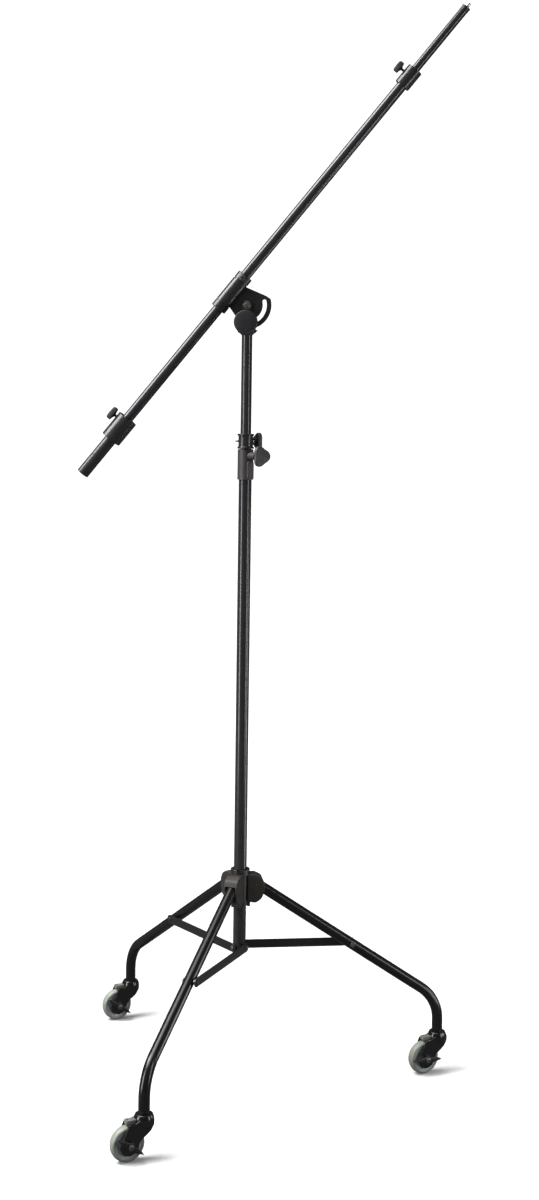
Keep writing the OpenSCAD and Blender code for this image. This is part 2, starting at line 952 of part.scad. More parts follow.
module caster_fork(k) {
    bridge_z = 77.6;
    bridge_h = 8.6;
    bridge_back = -14;
    clear_r = wheel_r + 1.9;
    bridge_len = trail - 7 - bridge_back;
    tab_half = 8;
    tab_end = 42.5;
    tab_h = 8.4;
    color("#101012")
    caster_place(k)
    difference() {
        union() {
            // Round swivel housing, hollowed out over the wheel
            difference() {
                translate([0, 0, dome_z])
                sphere(r = dome_r);
                translate([trail, 0, wheel_r])
                bar_y(clear_r, -plate_in - 0.4, plate_in + 0.4);
            }
            translate([bridge_back, -plate_end + 0.5, bridge_z])
            cube([bridge_len, 2 * plate_end - 1, bridge_h]);
            translate([10, -tab_half, bridge_z + 0.2])
            cube([tab_end - 10, 2 * tab_half, tab_h]);
            for (s = [0, 1]) {
                mirror([0, s, 0])
                translate([0, plate_end, 0])
                rotate([90, 0, 0])
                linear_extrude(height = fork_t)
                cheek_outline();
            }
            translate([0, 0, dome_z])
            cylinder(h = stem_top_z - dome_z, r = stem_r);
        }
        // Flat top under the leg, round the stem
        tube(dome_r + 2, stem_r, fork_top_z, fork_top_z + 20);
        translate([trail, 0, wheel_r])
        bar_y(axle_r + touch, -plate_end - 1, plate_end + 1);
    }
}

module caster_axle(k) {
    head_r = 6;
    head_h = 2.6;
    color("#2a2a2c")
    caster_place(k)
    translate([trail, 0, wheel_r])
    union() {
        bar_y(axle_r, -plate_end - 5, rocker_out + face_gap + 1);
        bar_y(head_r, rocker_out + face_gap, rocker_out + face_gap + head_h);
        bar_y(head_r + 0.5, -plate_end - 4.5, -plate_end - touch);
    }
}

module wheel_core(k) {
    hub_r = 11;
    hub_half = plate_in - face_gap;
    web_half = 5;
    rim_half = 9;
    rim_r = core_r - 4;
    color("#8e979c")
    caster_place(k)
    translate([trail, 0, wheel_r])
    rotate([90, 0, 0])
    rotate_extrude()
    union() {
        translate([axle_r + play, -hub_half])
        square([hub_r - axle_r - play, 2 * hub_half]);
        translate([hub_r - 1, -web_half])
        square([core_r - hub_r, 2 * web_half]);
        translate([rim_r, -rim_half])
        square([core_r - touch - rim_r, 2 * rim_half]);
    }
}

module tyre(k) {
    edge = 5;
    crown_r = 14;
    color("#9aa096")
    caster_place(k)
    translate([trail, 0, wheel_r])
    rotate([90, 0, 0])
    rotate_extrude()
    intersection() {
        translate([core_r, -tyre_w / 2])
        square([wheel_r - core_r, tyre_w]);
        union() {
            translate([wheel_r - crown_r, 0])
            circle(r = crown_r);
            translate([core_r, -tyre_w / 2])
            square([edge, tyre_w]);
        }
    }
}

// Rocker pedal beside the front cheek: a flat lens with a round boss at the axle
module brake_rocker(k) {
    blade = 6;
    boss_r = 9;
    arc_r = (rocker_half * rocker_half + blade * blade) / (2 * blade);
    color("#141416")
    caster_place(k)
    translate([trail, 0, wheel_r])
    rotate([0, -rocker_tilts[k], 0])
    translate([0, rocker_out, 0])
    rotate([90, 0, 0])
    linear_extrude(height = rocker_t)
    difference() {
        union() {
            intersection() {
                translate([0, arc_r - blade])
                circle(r = arc_r, $fn = 240);
                translate([0, blade - arc_r])
                circle(r = arc_r, $fn = 240);
            }
            circle(r = boss_r);
        }
        circle(r = axle_r + play);
    }
}

column_tube();
column_plug();
strut_pivot_rivets();
clamp_housing();
column_bush();
clamp_knob();
clamp_bolt();
column_glide();
inner_column();
stop_collar();
collar_rivet();
collar_knob();
collar_bolt();
head_yoke();
pivot_bolt();
tilt_knob();
tilt_bolt();
boom_clamp();
boom_bushes();
boom_lock_screw();
boom_tube();
boom_collar();
boom_thumbscrew();
boom_extension();
extension_glide();
boom_end_cap();
mic_stud();
counterweight();
weight_thumbscrew();
tail_sleeve();
leg_hub();
leg_pivot_pins();
leg(0);  // leg_1
leg(1);  // leg_2
leg(2);  // leg_3
leg_bolt(0);  // leg_bolt_1
leg_bolt(1);  // leg_bolt_2
leg_bolt(2);  // leg_bolt_3
caster_socket(0);  // caster_socket_1
caster_socket(1);  // caster_socket_2
caster_socket(2);  // caster_socket_3
strut(0);  // strut_1
strut(1);  // strut_2
strut(2);  // strut_3
caster_fork(0);  // caster_fork_1
caster_fork(1);  // caster_fork_2
caster_fork(2);  // caster_fork_3
caster_axle(0);  // caster_axle_1
caster_axle(1);  // caster_axle_2
caster_axle(2);  // caster_axle_3
wheel_core(0);  // wheel_core_1
wheel_core(1);  // wheel_core_2
wheel_core(2);  // wheel_core_3
tyre(0);  // tyre_1
tyre(1);  // tyre_2
tyre(2);  // tyre_3
brake_rocker(0);  // brake_rocker_1
brake_rocker(1);  // brake_rocker_2
brake_rocker(2);  // brake_rocker_3
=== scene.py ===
import json
import math
import bpy
import bmesh
from mathutils import Matrix, Vector
from mathutils.geometry import tessellate_polygon


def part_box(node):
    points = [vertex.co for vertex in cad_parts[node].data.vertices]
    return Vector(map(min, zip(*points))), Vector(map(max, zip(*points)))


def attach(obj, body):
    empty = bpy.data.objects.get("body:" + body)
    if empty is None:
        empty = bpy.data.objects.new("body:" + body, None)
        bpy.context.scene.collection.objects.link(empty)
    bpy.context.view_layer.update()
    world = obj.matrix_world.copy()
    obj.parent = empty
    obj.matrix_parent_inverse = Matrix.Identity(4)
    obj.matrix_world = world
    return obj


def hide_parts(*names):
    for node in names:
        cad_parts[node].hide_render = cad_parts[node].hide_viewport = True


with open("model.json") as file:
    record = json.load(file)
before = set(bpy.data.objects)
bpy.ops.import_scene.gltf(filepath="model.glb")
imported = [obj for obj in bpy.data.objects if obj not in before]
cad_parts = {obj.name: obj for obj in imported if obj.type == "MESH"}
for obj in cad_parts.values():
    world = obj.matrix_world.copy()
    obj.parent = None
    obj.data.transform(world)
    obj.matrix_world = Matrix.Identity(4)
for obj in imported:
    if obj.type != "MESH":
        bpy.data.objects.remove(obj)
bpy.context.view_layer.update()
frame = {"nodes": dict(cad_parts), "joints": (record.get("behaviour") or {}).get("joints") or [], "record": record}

# The stand's lengths are millimetres, and its meshes are scaled to metres when they are made. The floor and
# the lamps are laid out in metres.
MM = 0.001
NODES = frame["nodes"]
JOINTS = {j["name"]: j for j in frame["joints"]}


def joint_pos(name):
    return Vector(JOINTS[name]["pos_m"]) / MM


def joint_axis(name):
    return Vector(JOINTS[name]["axis"]).normalized()


def axes_at(origin, x, y, z):
    """Placement whose local axes are x, y and z."""
    m = Matrix((x, y, z)).transposed().to_4x4()
    m.translation = origin
    return m


def turn(angle, axis):
    return Matrix.Rotation(math.radians(angle), 4, axis)


def move(x=0.0, y=0.0, z=0.0):
    return Matrix.Translation((x, y, z))


UP = Vector((0, 0, 1))
ALONG_X = turn(90, "Y")          # local +Z laid along +X
ALONG_Y = turn(-90, "X")         # local +Z laid along +Y
TOWARDS_VIEWER = turn(90, "X")   # local +Z laid along -Y
COLUMN = move(joint_pos("column_swivel").x, joint_pos("column_swivel").y, 0)
PIVOT = joint_pos("boom_tilt")
BOOM_AXIS = joint_axis("boom_slide")
BOOM_OFFSET = 47.0               # boom tube's axis from the tilt pivot, square to the boom
BOOM = axes_at(PIVOT, BOOM_AXIS, Vector((0, 1, 0)), BOOM_AXIS.cross(Vector((0, 1, 0))))
BOOM_LINE = BOOM @ move(z=BOOM_OFFSET)
CLAMP_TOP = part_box("clamp_housing")[1].z / MM
COLLAR_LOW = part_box("stop_collar")[0].z / MM
FORK_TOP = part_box("leg_1")[0].z / MM - 0.6


def leg_axes(k):
    """Column's axis as local Z, the leg's direction as local X."""
    side = joint_axis("leg_%d_fold" % k)
    out = Vector((side.y, -side.x, 0))
    origin = COLUMN.translation
    return axes_at(origin, out, side, UP)


def caster_axes(k):
    """Swivel axis as local Z, the trail as local X, the viewer's side as local Y."""
    swivel = joint_pos("caster_%d_swivel" % k)
    wheel = joint_pos("wheel_%d_spin" % k)
    out = Vector((wheel.x - swivel.x, wheel.y - swivel.y, 0)).normalized()
    return axes_at(Vector((swivel.x, swivel.y, 0)), out, UP.cross(out), UP)


# ---------------------------------------------------------------- outlines

def rounded(points, steps=5):
    """Closed outline with each corner (x, y, radius) rounded off."""
    out = []
    count = len(points)
    for i, p in enumerate(points):
        radius = p[2] if len(p) > 2 else 0
        here = Vector(p[:2])
        before = Vector(points[i - 1][:2]) - here
        after = Vector(points[(i + 1) % count][:2]) - here
        if radius <= 0 or before.length < 1e-6 or after.length < 1e-6:
            out.append((here.x, here.y))
            continue
        angle = before.angle(after)
        if angle > math.pi - 0.02:
            out.append((here.x, here.y))
            continue
        reach = min(radius / math.tan(angle / 2), before.length * 0.49, after.length * 0.49)
        real = reach * math.tan(angle / 2)
        inwards = (before.normalized() + after.normalized()).normalized()
        middle = here + inwards * (real / math.sin(angle / 2))
        start = here + before.normalized() * reach - middle
        end = here + after.normalized() * reach - middle
        sweep = math.atan2(start.x * end.y - start.y * end.x, start.dot(end))
        for s in range(steps + 1):
            a = sweep * s / steps
            out.append((middle.x + start.x * math.cos(a) - start.y * math.sin(a),
                        middle.y + start.x * math.sin(a) + start.y * math.cos(a)))
    return out


def circle(radius, x=0.0, y=0.0, count=48):
    return [(x + radius * math.cos(2 * math.pi * i / count), y + radius * math.sin(2 * math.pi * i / count))
            for i in range(count)]


def area(points):
    return sum(a[0] * b[1] - b[0] * a[1] for a, b in zip(points, points[1:] + points[:1])) / 2


def inset(points, d):
    """Outline moved inwards by d, for a counter-clockwise outline."""
    out = []
    count = len(points)
    for i in range(count):
        here = Vector(points[i])
        e1 = here - Vector(points[i - 1])
        e2 = Vector(points[(i + 1) % count]) - here
        if e1.length < 1e-7:
            e1 = e2
        if e2.length < 1e-7:
            e2 = e1
        n1 = Vector((-e1.y, e1.x)).normalized()
        n2 = Vector((-e2.y, e2.x)).normalized()
        n = n1 + n2
        if n.length < 1e-4:
            n = n1
        n.normalize()
        out.append(tuple(here + n * (d / max(0.35, n.dot(n1)))))
    return out


def lobes(radius, depth=0.13, count=72):
    """Round outline with three lobes, as on a moulded clamp knob."""
    out = []
    for i in range(count):
        a = 2 * math.pi * i / count
        swell = 0.5 + 0.5 * math.cos(3 * a)
        r = radius * (1 - 2 * depth * (1 - swell))
        out.append((r * math.cos(a), r * math.sin(a)))
    return out


def serrated(radius, teeth, depth):
    out = []
    steps = teeth * 4
    for i in range(steps):
        a = 2 * math.pi * i / steps
        r = radius - (depth if i % 4 in (2, 3) else 0)
        out.append((r * math.cos(a), r * math.sin(a)))
    return out


# ---------------------------------------------------------------- solids

SHARP = 38       # degrees, above which an edge between two faces is drawn sharp
CAD_SHARP = 35   # the same for the nodes that come from the CAD


class Piece:
    """Closed shells gathered into one mesh, each laid out by a placement."""

    def __init__(self, name):
        self.name = name
        self.bm = bmesh.new()

    def verts(self, points, m):
        return [self.bm.verts.new(m @ Vector(p)) for p in points]

    def lathe(self, m, profile, seg=64, ring=False):
        """Solid of revolution about local Z from (radius, z) points, bottom to top."""
        rows = []
        for r, z in profile:
            if r < 1e-5:
                rows.append(self.verts([(0, 0, z)], m))
            else:
                rows.append(self.verts([(x, y, z) for x, y in circle(r, count=seg)], m))
        pairs = list(zip(rows, rows[1:]))
        if ring:
            pairs.append((rows[-1], rows[0]))
        for low, high in pairs:
            for i in range(seg):
                j = (i + 1) % seg
                loop = [low[i % len(low)], low[j % len(low)], high[j % len(high)], high[i % len(high)]]
                clean = [v for n, v in enumerate(loop) if v not in loop[:n]]
                if len(clean) > 2:
                    self.bm.faces.new(clean)
        if not ring:
            for row in (rows[0], rows[-1]):
                if len(row) > 1:
                    self.bm.faces.new(row)

    def loft(self, m, outline, levels):
        """Outline stacked at (scale, z) levels, closed at both ends."""
        rows = [self.verts([(x * s, y * s, z) for x, y in outline], m) for s, z in levels]
        count = len(outline)
        for low, high in zip(rows, rows[1:]):
            for i in range(count):
                j = (i + 1) % count
                self.bm.faces.new((low[i], low[j], high[j], high[i]))
        for row, z in ((rows[0], levels[0][1]), (rows[-1], levels[-1][1])):
            centre = self.verts([(0, 0, z)], m)[0]
            for i in range(count):
                self.bm.faces.new((row[i], row[(i + 1) % count], centre))

    def slab(self, m, outline, z0, z1, edge, holes=(), steps=3):
        """Flat plate of an outline with holes, its edges rounded by edge."""
        loops = [outline if area(outline) > 0 else outline[::-1]]
        loops += [h if area(h) < 0 else h[::-1] for h in holes]
        levels = []
        for s in range(steps + 1):
            a = math.pi / 2 * s / steps
            levels.append((edge * (1 - math.sin(a)), z0 + edge * (1 - math.cos(a))))
        levels += [(d, z0 + z1 - z) for d, z in reversed(levels)]
        if edge <= 0:
            levels = [(0, z0), (0, z1)]
        rows = []
        for d, z in levels:
            row = []
            for loop in loops:
                row.append(self.verts([(x, y, z) for x, y in inset(loop, d)], m))
            rows.append(row)
        for low, high in zip(rows, rows[1:]):
            for a, b in zip(low, high):
                for i in range(len(a)):
                    j = (i + 1) % len(a)
                    self.bm.faces.new((a[i], a[j], b[j], b[i]))
        for row, d in ((rows[0], levels[0][0]), (rows[-1], levels[-1][0])):
            flat = [v for loop in row for v in loop]
            polygons = [[Vector((x, y, 0)) for x, y in inset(loop, d)] for loop in loops]
            for tri in tessellate_polygon(polygons):
                corners = [flat[i] for i in tri]
                if len(set(corners)) == 3 and not self.bm.faces.get(corners):
                    self.bm.faces.new(corners)

    def pipe(self, m, radius, bore, z0, z1, edge, seg):
        """Tube along local Z, its outer corners rounded by edge."""
        walls = rounded([(bore, z0), (radius, z0, edge), (radius, z1, edge), (bore, z1)], 3)
        self.lathe(m, walls, seg, ring=True)

    def make(self, sharp=SHARP):
        bmesh.ops.recalc_face_normals(self.bm, faces=self.bm.faces)
        bmesh.ops.scale(self.bm, vec=(MM, MM, MM), verts=self.bm.verts)
        mesh = bpy.data.meshes.new(self.name)
        self.bm.to_mesh(mesh)
        self.bm.free()
        mesh.shade_smooth()
        mesh.set_sharp_from_angle(angle=math.radians(sharp))
        obj = bpy.data.objects.new(self.name, mesh)
        bpy.context.scene.collection.objects.link(obj)
        return obj


def cut(obj, *cutters):
    """Takes the cutters out of obj and bakes the result into its mesh."""
    for cutter in cutters:
        mod = obj.modifiers.new("cut", "BOOLEAN")
        mod.operation = "DIFFERENCE"
        mod.solver = "EXACT"
        mod.object = cutter
    bpy.context.view_layer.update()
    mesh = bpy.data.meshes.new_from_object(obj.evaluated_get(bpy.context.evaluated_depsgraph_get()))
    obj.modifiers.clear()
    obj.data = mesh
    mesh.shade_smooth()
    mesh.set_sharp_from_angle(angle=math.radians(SHARP))
    for cutter in cutters:
        bpy.data.objects.remove(cutter)
    return obj


def fit(obj, material, body, slot, *nodes):
    """Dresses a piece, rides it on its body and lets it stand for its CAD nodes."""
    obj.data.materials.clear()
    obj.data.materials.append(material)
    mod = obj.modifiers.new("normals", "WEIGHTED_NORMAL")
    mod.keep_sharp = True
    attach(obj, body)
    if nodes:
        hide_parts(*nodes)


# ---------------------------------------------------------------- materials

def surface(name, colour, rough, metallic=0.0, spec=0.5, tint=0.25, grain=900.0, grain_depth=0.0,
            wander=0.12, subsurface=0.0, mottle=60.0):
    """Procedural finish: colour mottled by tint, roughness that wanders, and a fine grain as bump."""
    mat = bpy.data.materials.new(name)
    mat.use_nodes = True
    tree = mat.node_tree
    nodes, links = tree.nodes, tree.links
    shader = nodes["Principled BSDF"]
    shader.inputs["Metallic"].default_value = metallic
    shader.inputs["Specular IOR Level"].default_value = spec
    shader.inputs["Subsurface Weight"].default_value = subsurface
    shader.inputs["Subsurface Radius"].default_value = (0.004, 0.004, 0.003)
    shader.inputs["Subsurface Scale"].default_value = 1.0
    place = nodes.new("ShaderNodeTexCoord").outputs["Object"]

    def noise(scale, detail):
        tex = nodes.new("ShaderNodeTexNoise")
        tex.inputs["Scale"].default_value = scale
        tex.inputs["Detail"].default_value = detail
        links.new(place, tex.inputs["Vector"])
        return tex.outputs["Fac"]

    ramp = nodes.new("ShaderNodeValToRGB")
    ramp.color_ramp.elements[0].position = 0.3
    ramp.color_ramp.elements[1].position = 0.72
    ramp.color_ramp.elements[0].color = [c * (1 - tint) for c in colour] + [1]
    ramp.color_ramp.elements[1].color = [min(1.0, c * (1 + tint)) for c in colour] + [1]
    links.new(noise(mottle, 5.0), ramp.inputs["Fac"])
    links.new(ramp.outputs["Color"], shader.inputs["Base Color"])
    spread = nodes.new("ShaderNodeMapRange")
    spread.inputs["From Min"].default_value = 0.3
    spread.inputs["From Max"].default_value = 0.7
    spread.inputs["To Min"].default_value = max(0.03, rough * (1 - wander))
    spread.inputs["To Max"].default_value = min(1.0, rough * (1 + wander))
    links.new(noise(35.0, 4.0), spread.inputs["Value"])
    links.new(spread.outputs["Result"], shader.inputs["Roughness"])
    if grain_depth > 0:
        bump = nodes.new("ShaderNodeBump")
        bump.inputs["Strength"].default_value = 1.0
        bump.inputs["Distance"].default_value = grain_depth * MM
        links.new(noise(grain, 2.0), bump.inputs["Height"])
        links.new(bump.outputs["Normal"], shader.inputs["Normal"])
    return mat


# The tube coat and the legs' coat are one black finish in two copies: the tube copy is lighter, painted fill light
# on the column and boom, and the legs' copy is darker, painted shade.
TUBE = surface("tube_coat", (0.0205, 0.0188, 0.0216), 0.2, spec=0.42, tint=0.15, wander=0.04)
SHADED_LEG_TUBE = surface("leg_coat", (0.0055, 0.0051, 0.0050), 0.22, spec=0.36, tint=0.15, wander=0.04)
SATIN = surface("satin_coat", (0.0185, 0.0173, 0.0192), 0.25, spec=0.42, tint=0.15, wander=0.05)
PLATE = surface("plate_coat", (0.0105, 0.0095, 0.0112), 0.42, spec=0.35, grain=700, grain_depth=0.004)
STRUT = surface("strut_coat", (0.0100, 0.0085, 0.0078), 0.34, spec=0.4, wander=0.08)
HUB = surface("hub_moulding", (0.0245, 0.0215, 0.0185), 0.55, spec=0.3, grain=900, grain_depth=0.012,
              tint=0.15)
HOUSING = surface("housing_moulding", (0.034, 0.030, 0.033), 0.5, spec=0.4, grain=900, grain_depth=0.01,
                  tint=0.12)
KNOB = surface("knob_moulding", (0.033, 0.0305, 0.0305), 0.5, spec=0.4, grain=900, grain_depth=0.012,
               tint=0.15)
DIAL = surface("dial_moulding", (0.0105, 0.0103, 0.0125), 0.48, spec=0.35, grain=900, grain_depth=0.008,
               tint=0.15)
# The bush finish is the real black of the bushes and tip cap, and also painted shade on the hub's ring and back
# plates.
BUSH_AND_HUB_SHADE = surface("bush_moulding_and_hub_shade", (0.0100, 0.0098, 0.0105), 0.36, spec=0.45, grain=600, grain_depth=0.002)
STEEL = surface("bolt_steel", (0.42, 0.42, 0.41), 0.34, metallic=1.0, grain=400, grain_depth=0.002,
                tint=0.12)
DARK_STEEL = surface("dark_steel", (0.105, 0.098, 0.085), 0.38, metallic=0.6, grain=500, grain_depth=0.003,
                     tint=0.3)
STUD = surface("plated_thread", (0.70, 0.69, 0.66), 0.22, metallic=1.0, grain=400, grain_depth=0.001,
               tint=0.1)
FORK = surface("fork_moulding", (0.0045, 0.0043, 0.0048), 0.2, spec=0.5, wander=0.08)
LEVER = surface("lever_moulding", (0.0075, 0.0068, 0.0068), 0.3, spec=0.5, grain=500, grain_depth=0.003)
# Grey for the fork's black top web: painted sheen of the light from above.
TAB_SHEEN = surface("tab_painted_sheen", (0.15, 0.152, 0.135), 0.5, spec=0.4, grain=700, grain_depth=0.008)
WHEEL = surface("wheel_moulding", (0.40, 0.44, 0.45), 0.42, spec=0.4, grain=400, grain_depth=0.004,
                tint=0.12)
TYRE = surface("tyre_tread", (0.235, 0.250, 0.216), 0.42, spec=0.4, subsurface=0.12, grain=300,
               grain_depth=0.004, tint=0.1, mottle=90)

SLOT_FINISH = {
    "tube_black": TUBE, "satin_black": SATIN, "strut_black": STRUT, "fork_black": FORK,
    "hub_plastic": HUB, "housing_plastic": HOUSING, "knob_plastic": KNOB, "bush_plastic": BUSH_AND_HUB_SHADE,
    "bolt_steel": STEEL, "dark_steel": DARK_STEEL, "stud_steel": STUD,
    "wheel_grey": WHEEL, "tyre_grey": TYRE,
}
LEG_NODES = ("leg_1", "leg_2", "leg_3")
# The legs take the darker copy of the tube coat, as painted shade.
for part in frame["record"]["subparts"]:
    node = NODES[part["node"]]
    for entry in node.material_slots:
        entry.material = SHADED_LEG_TUBE if part["node"] in LEG_NODES else SLOT_FINISH[part["material_slot"]]
    node.data.shade_smooth()
    node.data.set_sharp_from_angle(angle=math.radians(CAD_SHARP))


# ---------------------------------------------------------------- column fittings

def facing(name):
    """Which way a joint's axis points round the column, in degrees from +X."""
    axis = joint_axis(name)
    return math.degrees(math.atan2(axis.y, axis.x))


CLAMP_KNOB_TURN = facing("clamp_knob_turn")
COLLAR_KNOB_TURN = facing("collar_knob_turn")
KNOB_DROP = 15.0      # clamp knob's axis below the top of the housing
HOUSING_R = 18.45
HOUSING_LEN = 70.5
BUSH_BORE = 13.2
TUBE_CLEAR = 15.06    # just clear of the column tube
BOLT_HOLE = 4.1       # radius of the hole in a knob for its screw
SCREW_R = 2.95        # shank of the small screws on the boom
COLLAR_LEN = 34.6
COLLAR_MID = COLLAR_LOW + COLLAR_LEN / 2


def clamp_housing():
    low = CLAMP_TOP - HOUSING_LEN
    lip, boss, boss_end = HOUSING_R + 0.35, 8.9, 38.0
    p = Piece("clamp_housing_shell")
    p.lathe(COLUMN, rounded([(TUBE_CLEAR, low), (lip, low, 0.5), (lip, low + 2.2, 0.5),
                             (HOUSING_R, low + 2.8), (HOUSING_R, CLAMP_TOP, 1.3),
                             (BUSH_BORE, CLAMP_TOP, 0.4), (BUSH_BORE, CLAMP_TOP - 1),
                             (TUBE_CLEAR, CLAMP_TOP - 1.4)], 4), 96, ring=True)
    knob_line = COLUMN @ move(z=CLAMP_TOP - KNOB_DROP) @ turn(CLAMP_KNOB_TURN, "Z") @ ALONG_X
    p.lathe(knob_line, [(0, 16), (boss, 16), (boss, boss_end - 1.4), (boss - 0.6, boss_end - 0.3),
                        (boss - 1.7, boss_end), (4.4, boss_end), (4.4, boss_end - 2), (0, boss_end - 2)], 48)
    # Raised rib under the boss, down to the foot of the housing
    rib = rounded([(-9.5, 0, 3), (9.5, 0, 3), (9.5, 44, 9), (-9.5, 44, 9)], 6)
    rib_face = COLUMN @ turn(CLAMP_KNOB_TURN + 90, "Z") @ move(z=low + 1.5) @ TOWARDS_VIEWER
    p.slab(rib_face, rib, 14.5, 19.6, 0.9)
    fit(p.make(), HOUSING, "column", "housing_plastic", "clamp_housing")
    screw = Piece("clamp_housing_screw")
    spot = COLUMN @ turn(CLAMP_KNOB_TURN, "Z") @ move(z=low + 17.1) @ ALONG_X
    screw.lathe(spot, [(0, 18.6), (2.5, 18.6), (2.5, 19.9), (2.1, 20.2), (1.3, 20.2), (1.1, 19.4),
                       (0, 19.4)], 28)
    fit(screw.make(), DARK_STEEL, "column", "dark_steel")


def lobed_knob(name, line, radius, inner, outer, hub, body, node):
    """Three-lobed clamp knob with a domed face, along the local Z of its line."""
    deep = outer - inner
    p = Piece(name)
    p.loft(line, lobes(radius), [(0.80, inner), (0.93, inner + 0.5), (0.985, inner + 2.0),
                                 (1.0, inner + deep * 0.45), (0.99, outer - 3.2), (0.955, outer - 1.9),
                                 (0.88, outer - 1.0), (0.72, outer - 0.45), (0.4, outer - 0.12),
                                 (0.12, outer)])
    p.lathe(line, rounded([(BOLT_HOLE, inner - 5.6), (hub, inner - 5.6, 1.0), (hub, inner + 0.8),
                           (BOLT_HOLE, inner + 0.8)], 3), 48, ring=True)
    fit(p.make(60), KNOB, body, "knob_plastic", node)


def stop_collar():
    top = COLLAR_LOW + COLLAR_LEN
    bore, rim, waist = 12.56, 19.5, 17.0
    collar = Piece("stop_collar_ring")
    collar.lathe(COLUMN, rounded([(bore, COLLAR_LOW), (rim, COLLAR_LOW, 0.6), (rim, COLLAR_LOW + 3.6, 0.7),
                                  (waist, COLLAR_LOW + 5.2, 1.5), (waist, top - 5.2, 1.5),
                                  (rim, top - 3.6, 0.7), (rim, top, 0.6), (bore, top)], 4), 96, ring=True)
    fit(collar.make(), SATIN, "stop_collar", "satin_black", "stop_collar")
    pin = Piece("collar_rivet_end")
    line = COLUMN @ move(z=COLLAR_MID) @ turn(COLLAR_KNOB_TURN + 155, "Z") @ ALONG_X
    pin.lathe(line, [(0, 14.2), (1.6, 14.2), (1.6, 17.2), (2.6, 17.2), (2.6, 18.8), (1.6, 19.2),
                     (1.6, 23.6), (1.1, 24.5), (0, 24.5)], 28)
    fit(pin.make(), DARK_STEEL, "stop_collar", "dark_steel", "collar_rivet")


clamp_housing()
clamp_line = COLUMN @ move(z=CLAMP_TOP - KNOB_DROP) @ turn(CLAMP_KNOB_TURN, "Z") @ turn(60, "X") @ ALONG_X
lobed_knob("clamp_knob_grip", clamp_line @ turn(-90, "Z"), radius=25.6, inner=51.0, outer=62.3, hub=8.0,
           body="clamp_screw", node="clamp_knob")
collar_line = COLUMN @ move(z=COLLAR_MID) @ turn(COLLAR_KNOB_TURN, "Z") @ turn(-60, "X") @ ALONG_X
lobed_knob("collar_knob_grip", collar_line @ turn(-90, "Z"), radius=22.0, inner=26.0, outer=37.0, hub=7.0,
           body="collar_screw", node="collar_knob")
stop_collar()


# ---------------------------------------------------------------- head

FLANGE_TOP = PIVOT.z - 58.0
YOKE_FRONT, YOKE_BACK = -2.2, 9.8    # along Y from the pivot, the viewer's side below zero
PLATE_FRONT = -7.5
SLOT_R = 41.0         # middle of the curved slot, from the pivot
BOOM_RISE = math.degrees(math.atan2(BOOM_AXIS.z, BOOM_AXIS.x))
BOOM_CLEAR = 12.76    # just clear of the boom tube


def head_yoke():
    base = FLANGE_TOP - 13
    shank, flange = 10.9, 22.3
    profile = rounded([(shank, base - 40), (shank, base + 0.1), (12.6, base + 0.1, 0.4), (13.2, base + 1.0),
                       (16.5, base + 4.5, 5), (flange - 0.7, base + 7.6, 0.6), (flange, base + 8.4, 0.5),
                       (flange, FLANGE_TOP, 0.8), (0.01, FLANGE_TOP)], 4)
    p = Piece("head_yoke_casting")
    p.lathe(COLUMN, profile + [(0, FLANGE_TOP)], 96)
    wall = COLUMN @ TOWARDS_VIEWER
    half = 17.0
    flare = 7.0
    upright = [(-half - flare + 0.4, FLANGE_TOP - 2), (half + flare - 0.4, FLANGE_TOP - 2)]
    upright += [(half + flare * (1 - math.sin(a)), FLANGE_TOP + flare * (1 - math.cos(a)))
                for a in (math.radians(d) for d in range(0, 91, 10))]
    upright += [(half * math.cos(a), PIVOT.z + half * math.sin(a))
                for a in (math.radians(d) for d in range(0, 181, 6))]
    upright += [(-half - flare * (1 - math.cos(a)), FLANGE_TOP + flare * (1 - math.sin(a)))
                for a in (math.radians(d) for d in range(0, 91, 10))]
    p.slab(wall, upright, -YOKE_BACK, -YOKE_FRONT, 0.8)
    fit(p.make(), SATIN, "upper_column", "satin_black", "head_yoke")


def hex_outline(flats, corner=1.0):
    r = flats / math.sqrt(3)
    return rounded([(r * math.cos(math.radians(60 * i)), r * math.sin(math.radians(60 * i)), corner)
                    for i in range(6)], 3)


def pivot_bolt():
    line = COLUMN @ move(z=PIVOT.z) @ TOWARDS_VIEWER
    face = -PLATE_FRONT + 0.3
    p = Piece("pivot_bolt_set")
    p.lathe(line, [(0, -YOKE_BACK - 1), (4.98, -YOKE_BACK - 1), (4.98, face + 8.0), (4.2, face + 8.6),
                   (0, face + 8.6)], 40)
    p.lathe(line, rounded([(5.0, face), (10.4, face, 0.4), (10.4, face + 1.4, 0.5), (5.0, face + 1.4)], 3),
            48, ring=True)
    nut = hex_outline(16.4)
    p.loft(line, nut, [(0.93, face + 1.4), (1.0, face + 2.3), (1.0, face + 6.3), (0.9, face + 7.3),
                       (0.62, face + 7.4)])
    p.loft(line, nut, [(0.9, -YOKE_BACK - 6.4), (1.0, -YOKE_BACK - 5.4), (1.0, -YOKE_BACK - 0.1)])
    fit(p.make(30), DARK_STEEL, "upper_column", "dark_steel", "pivot_bolt")


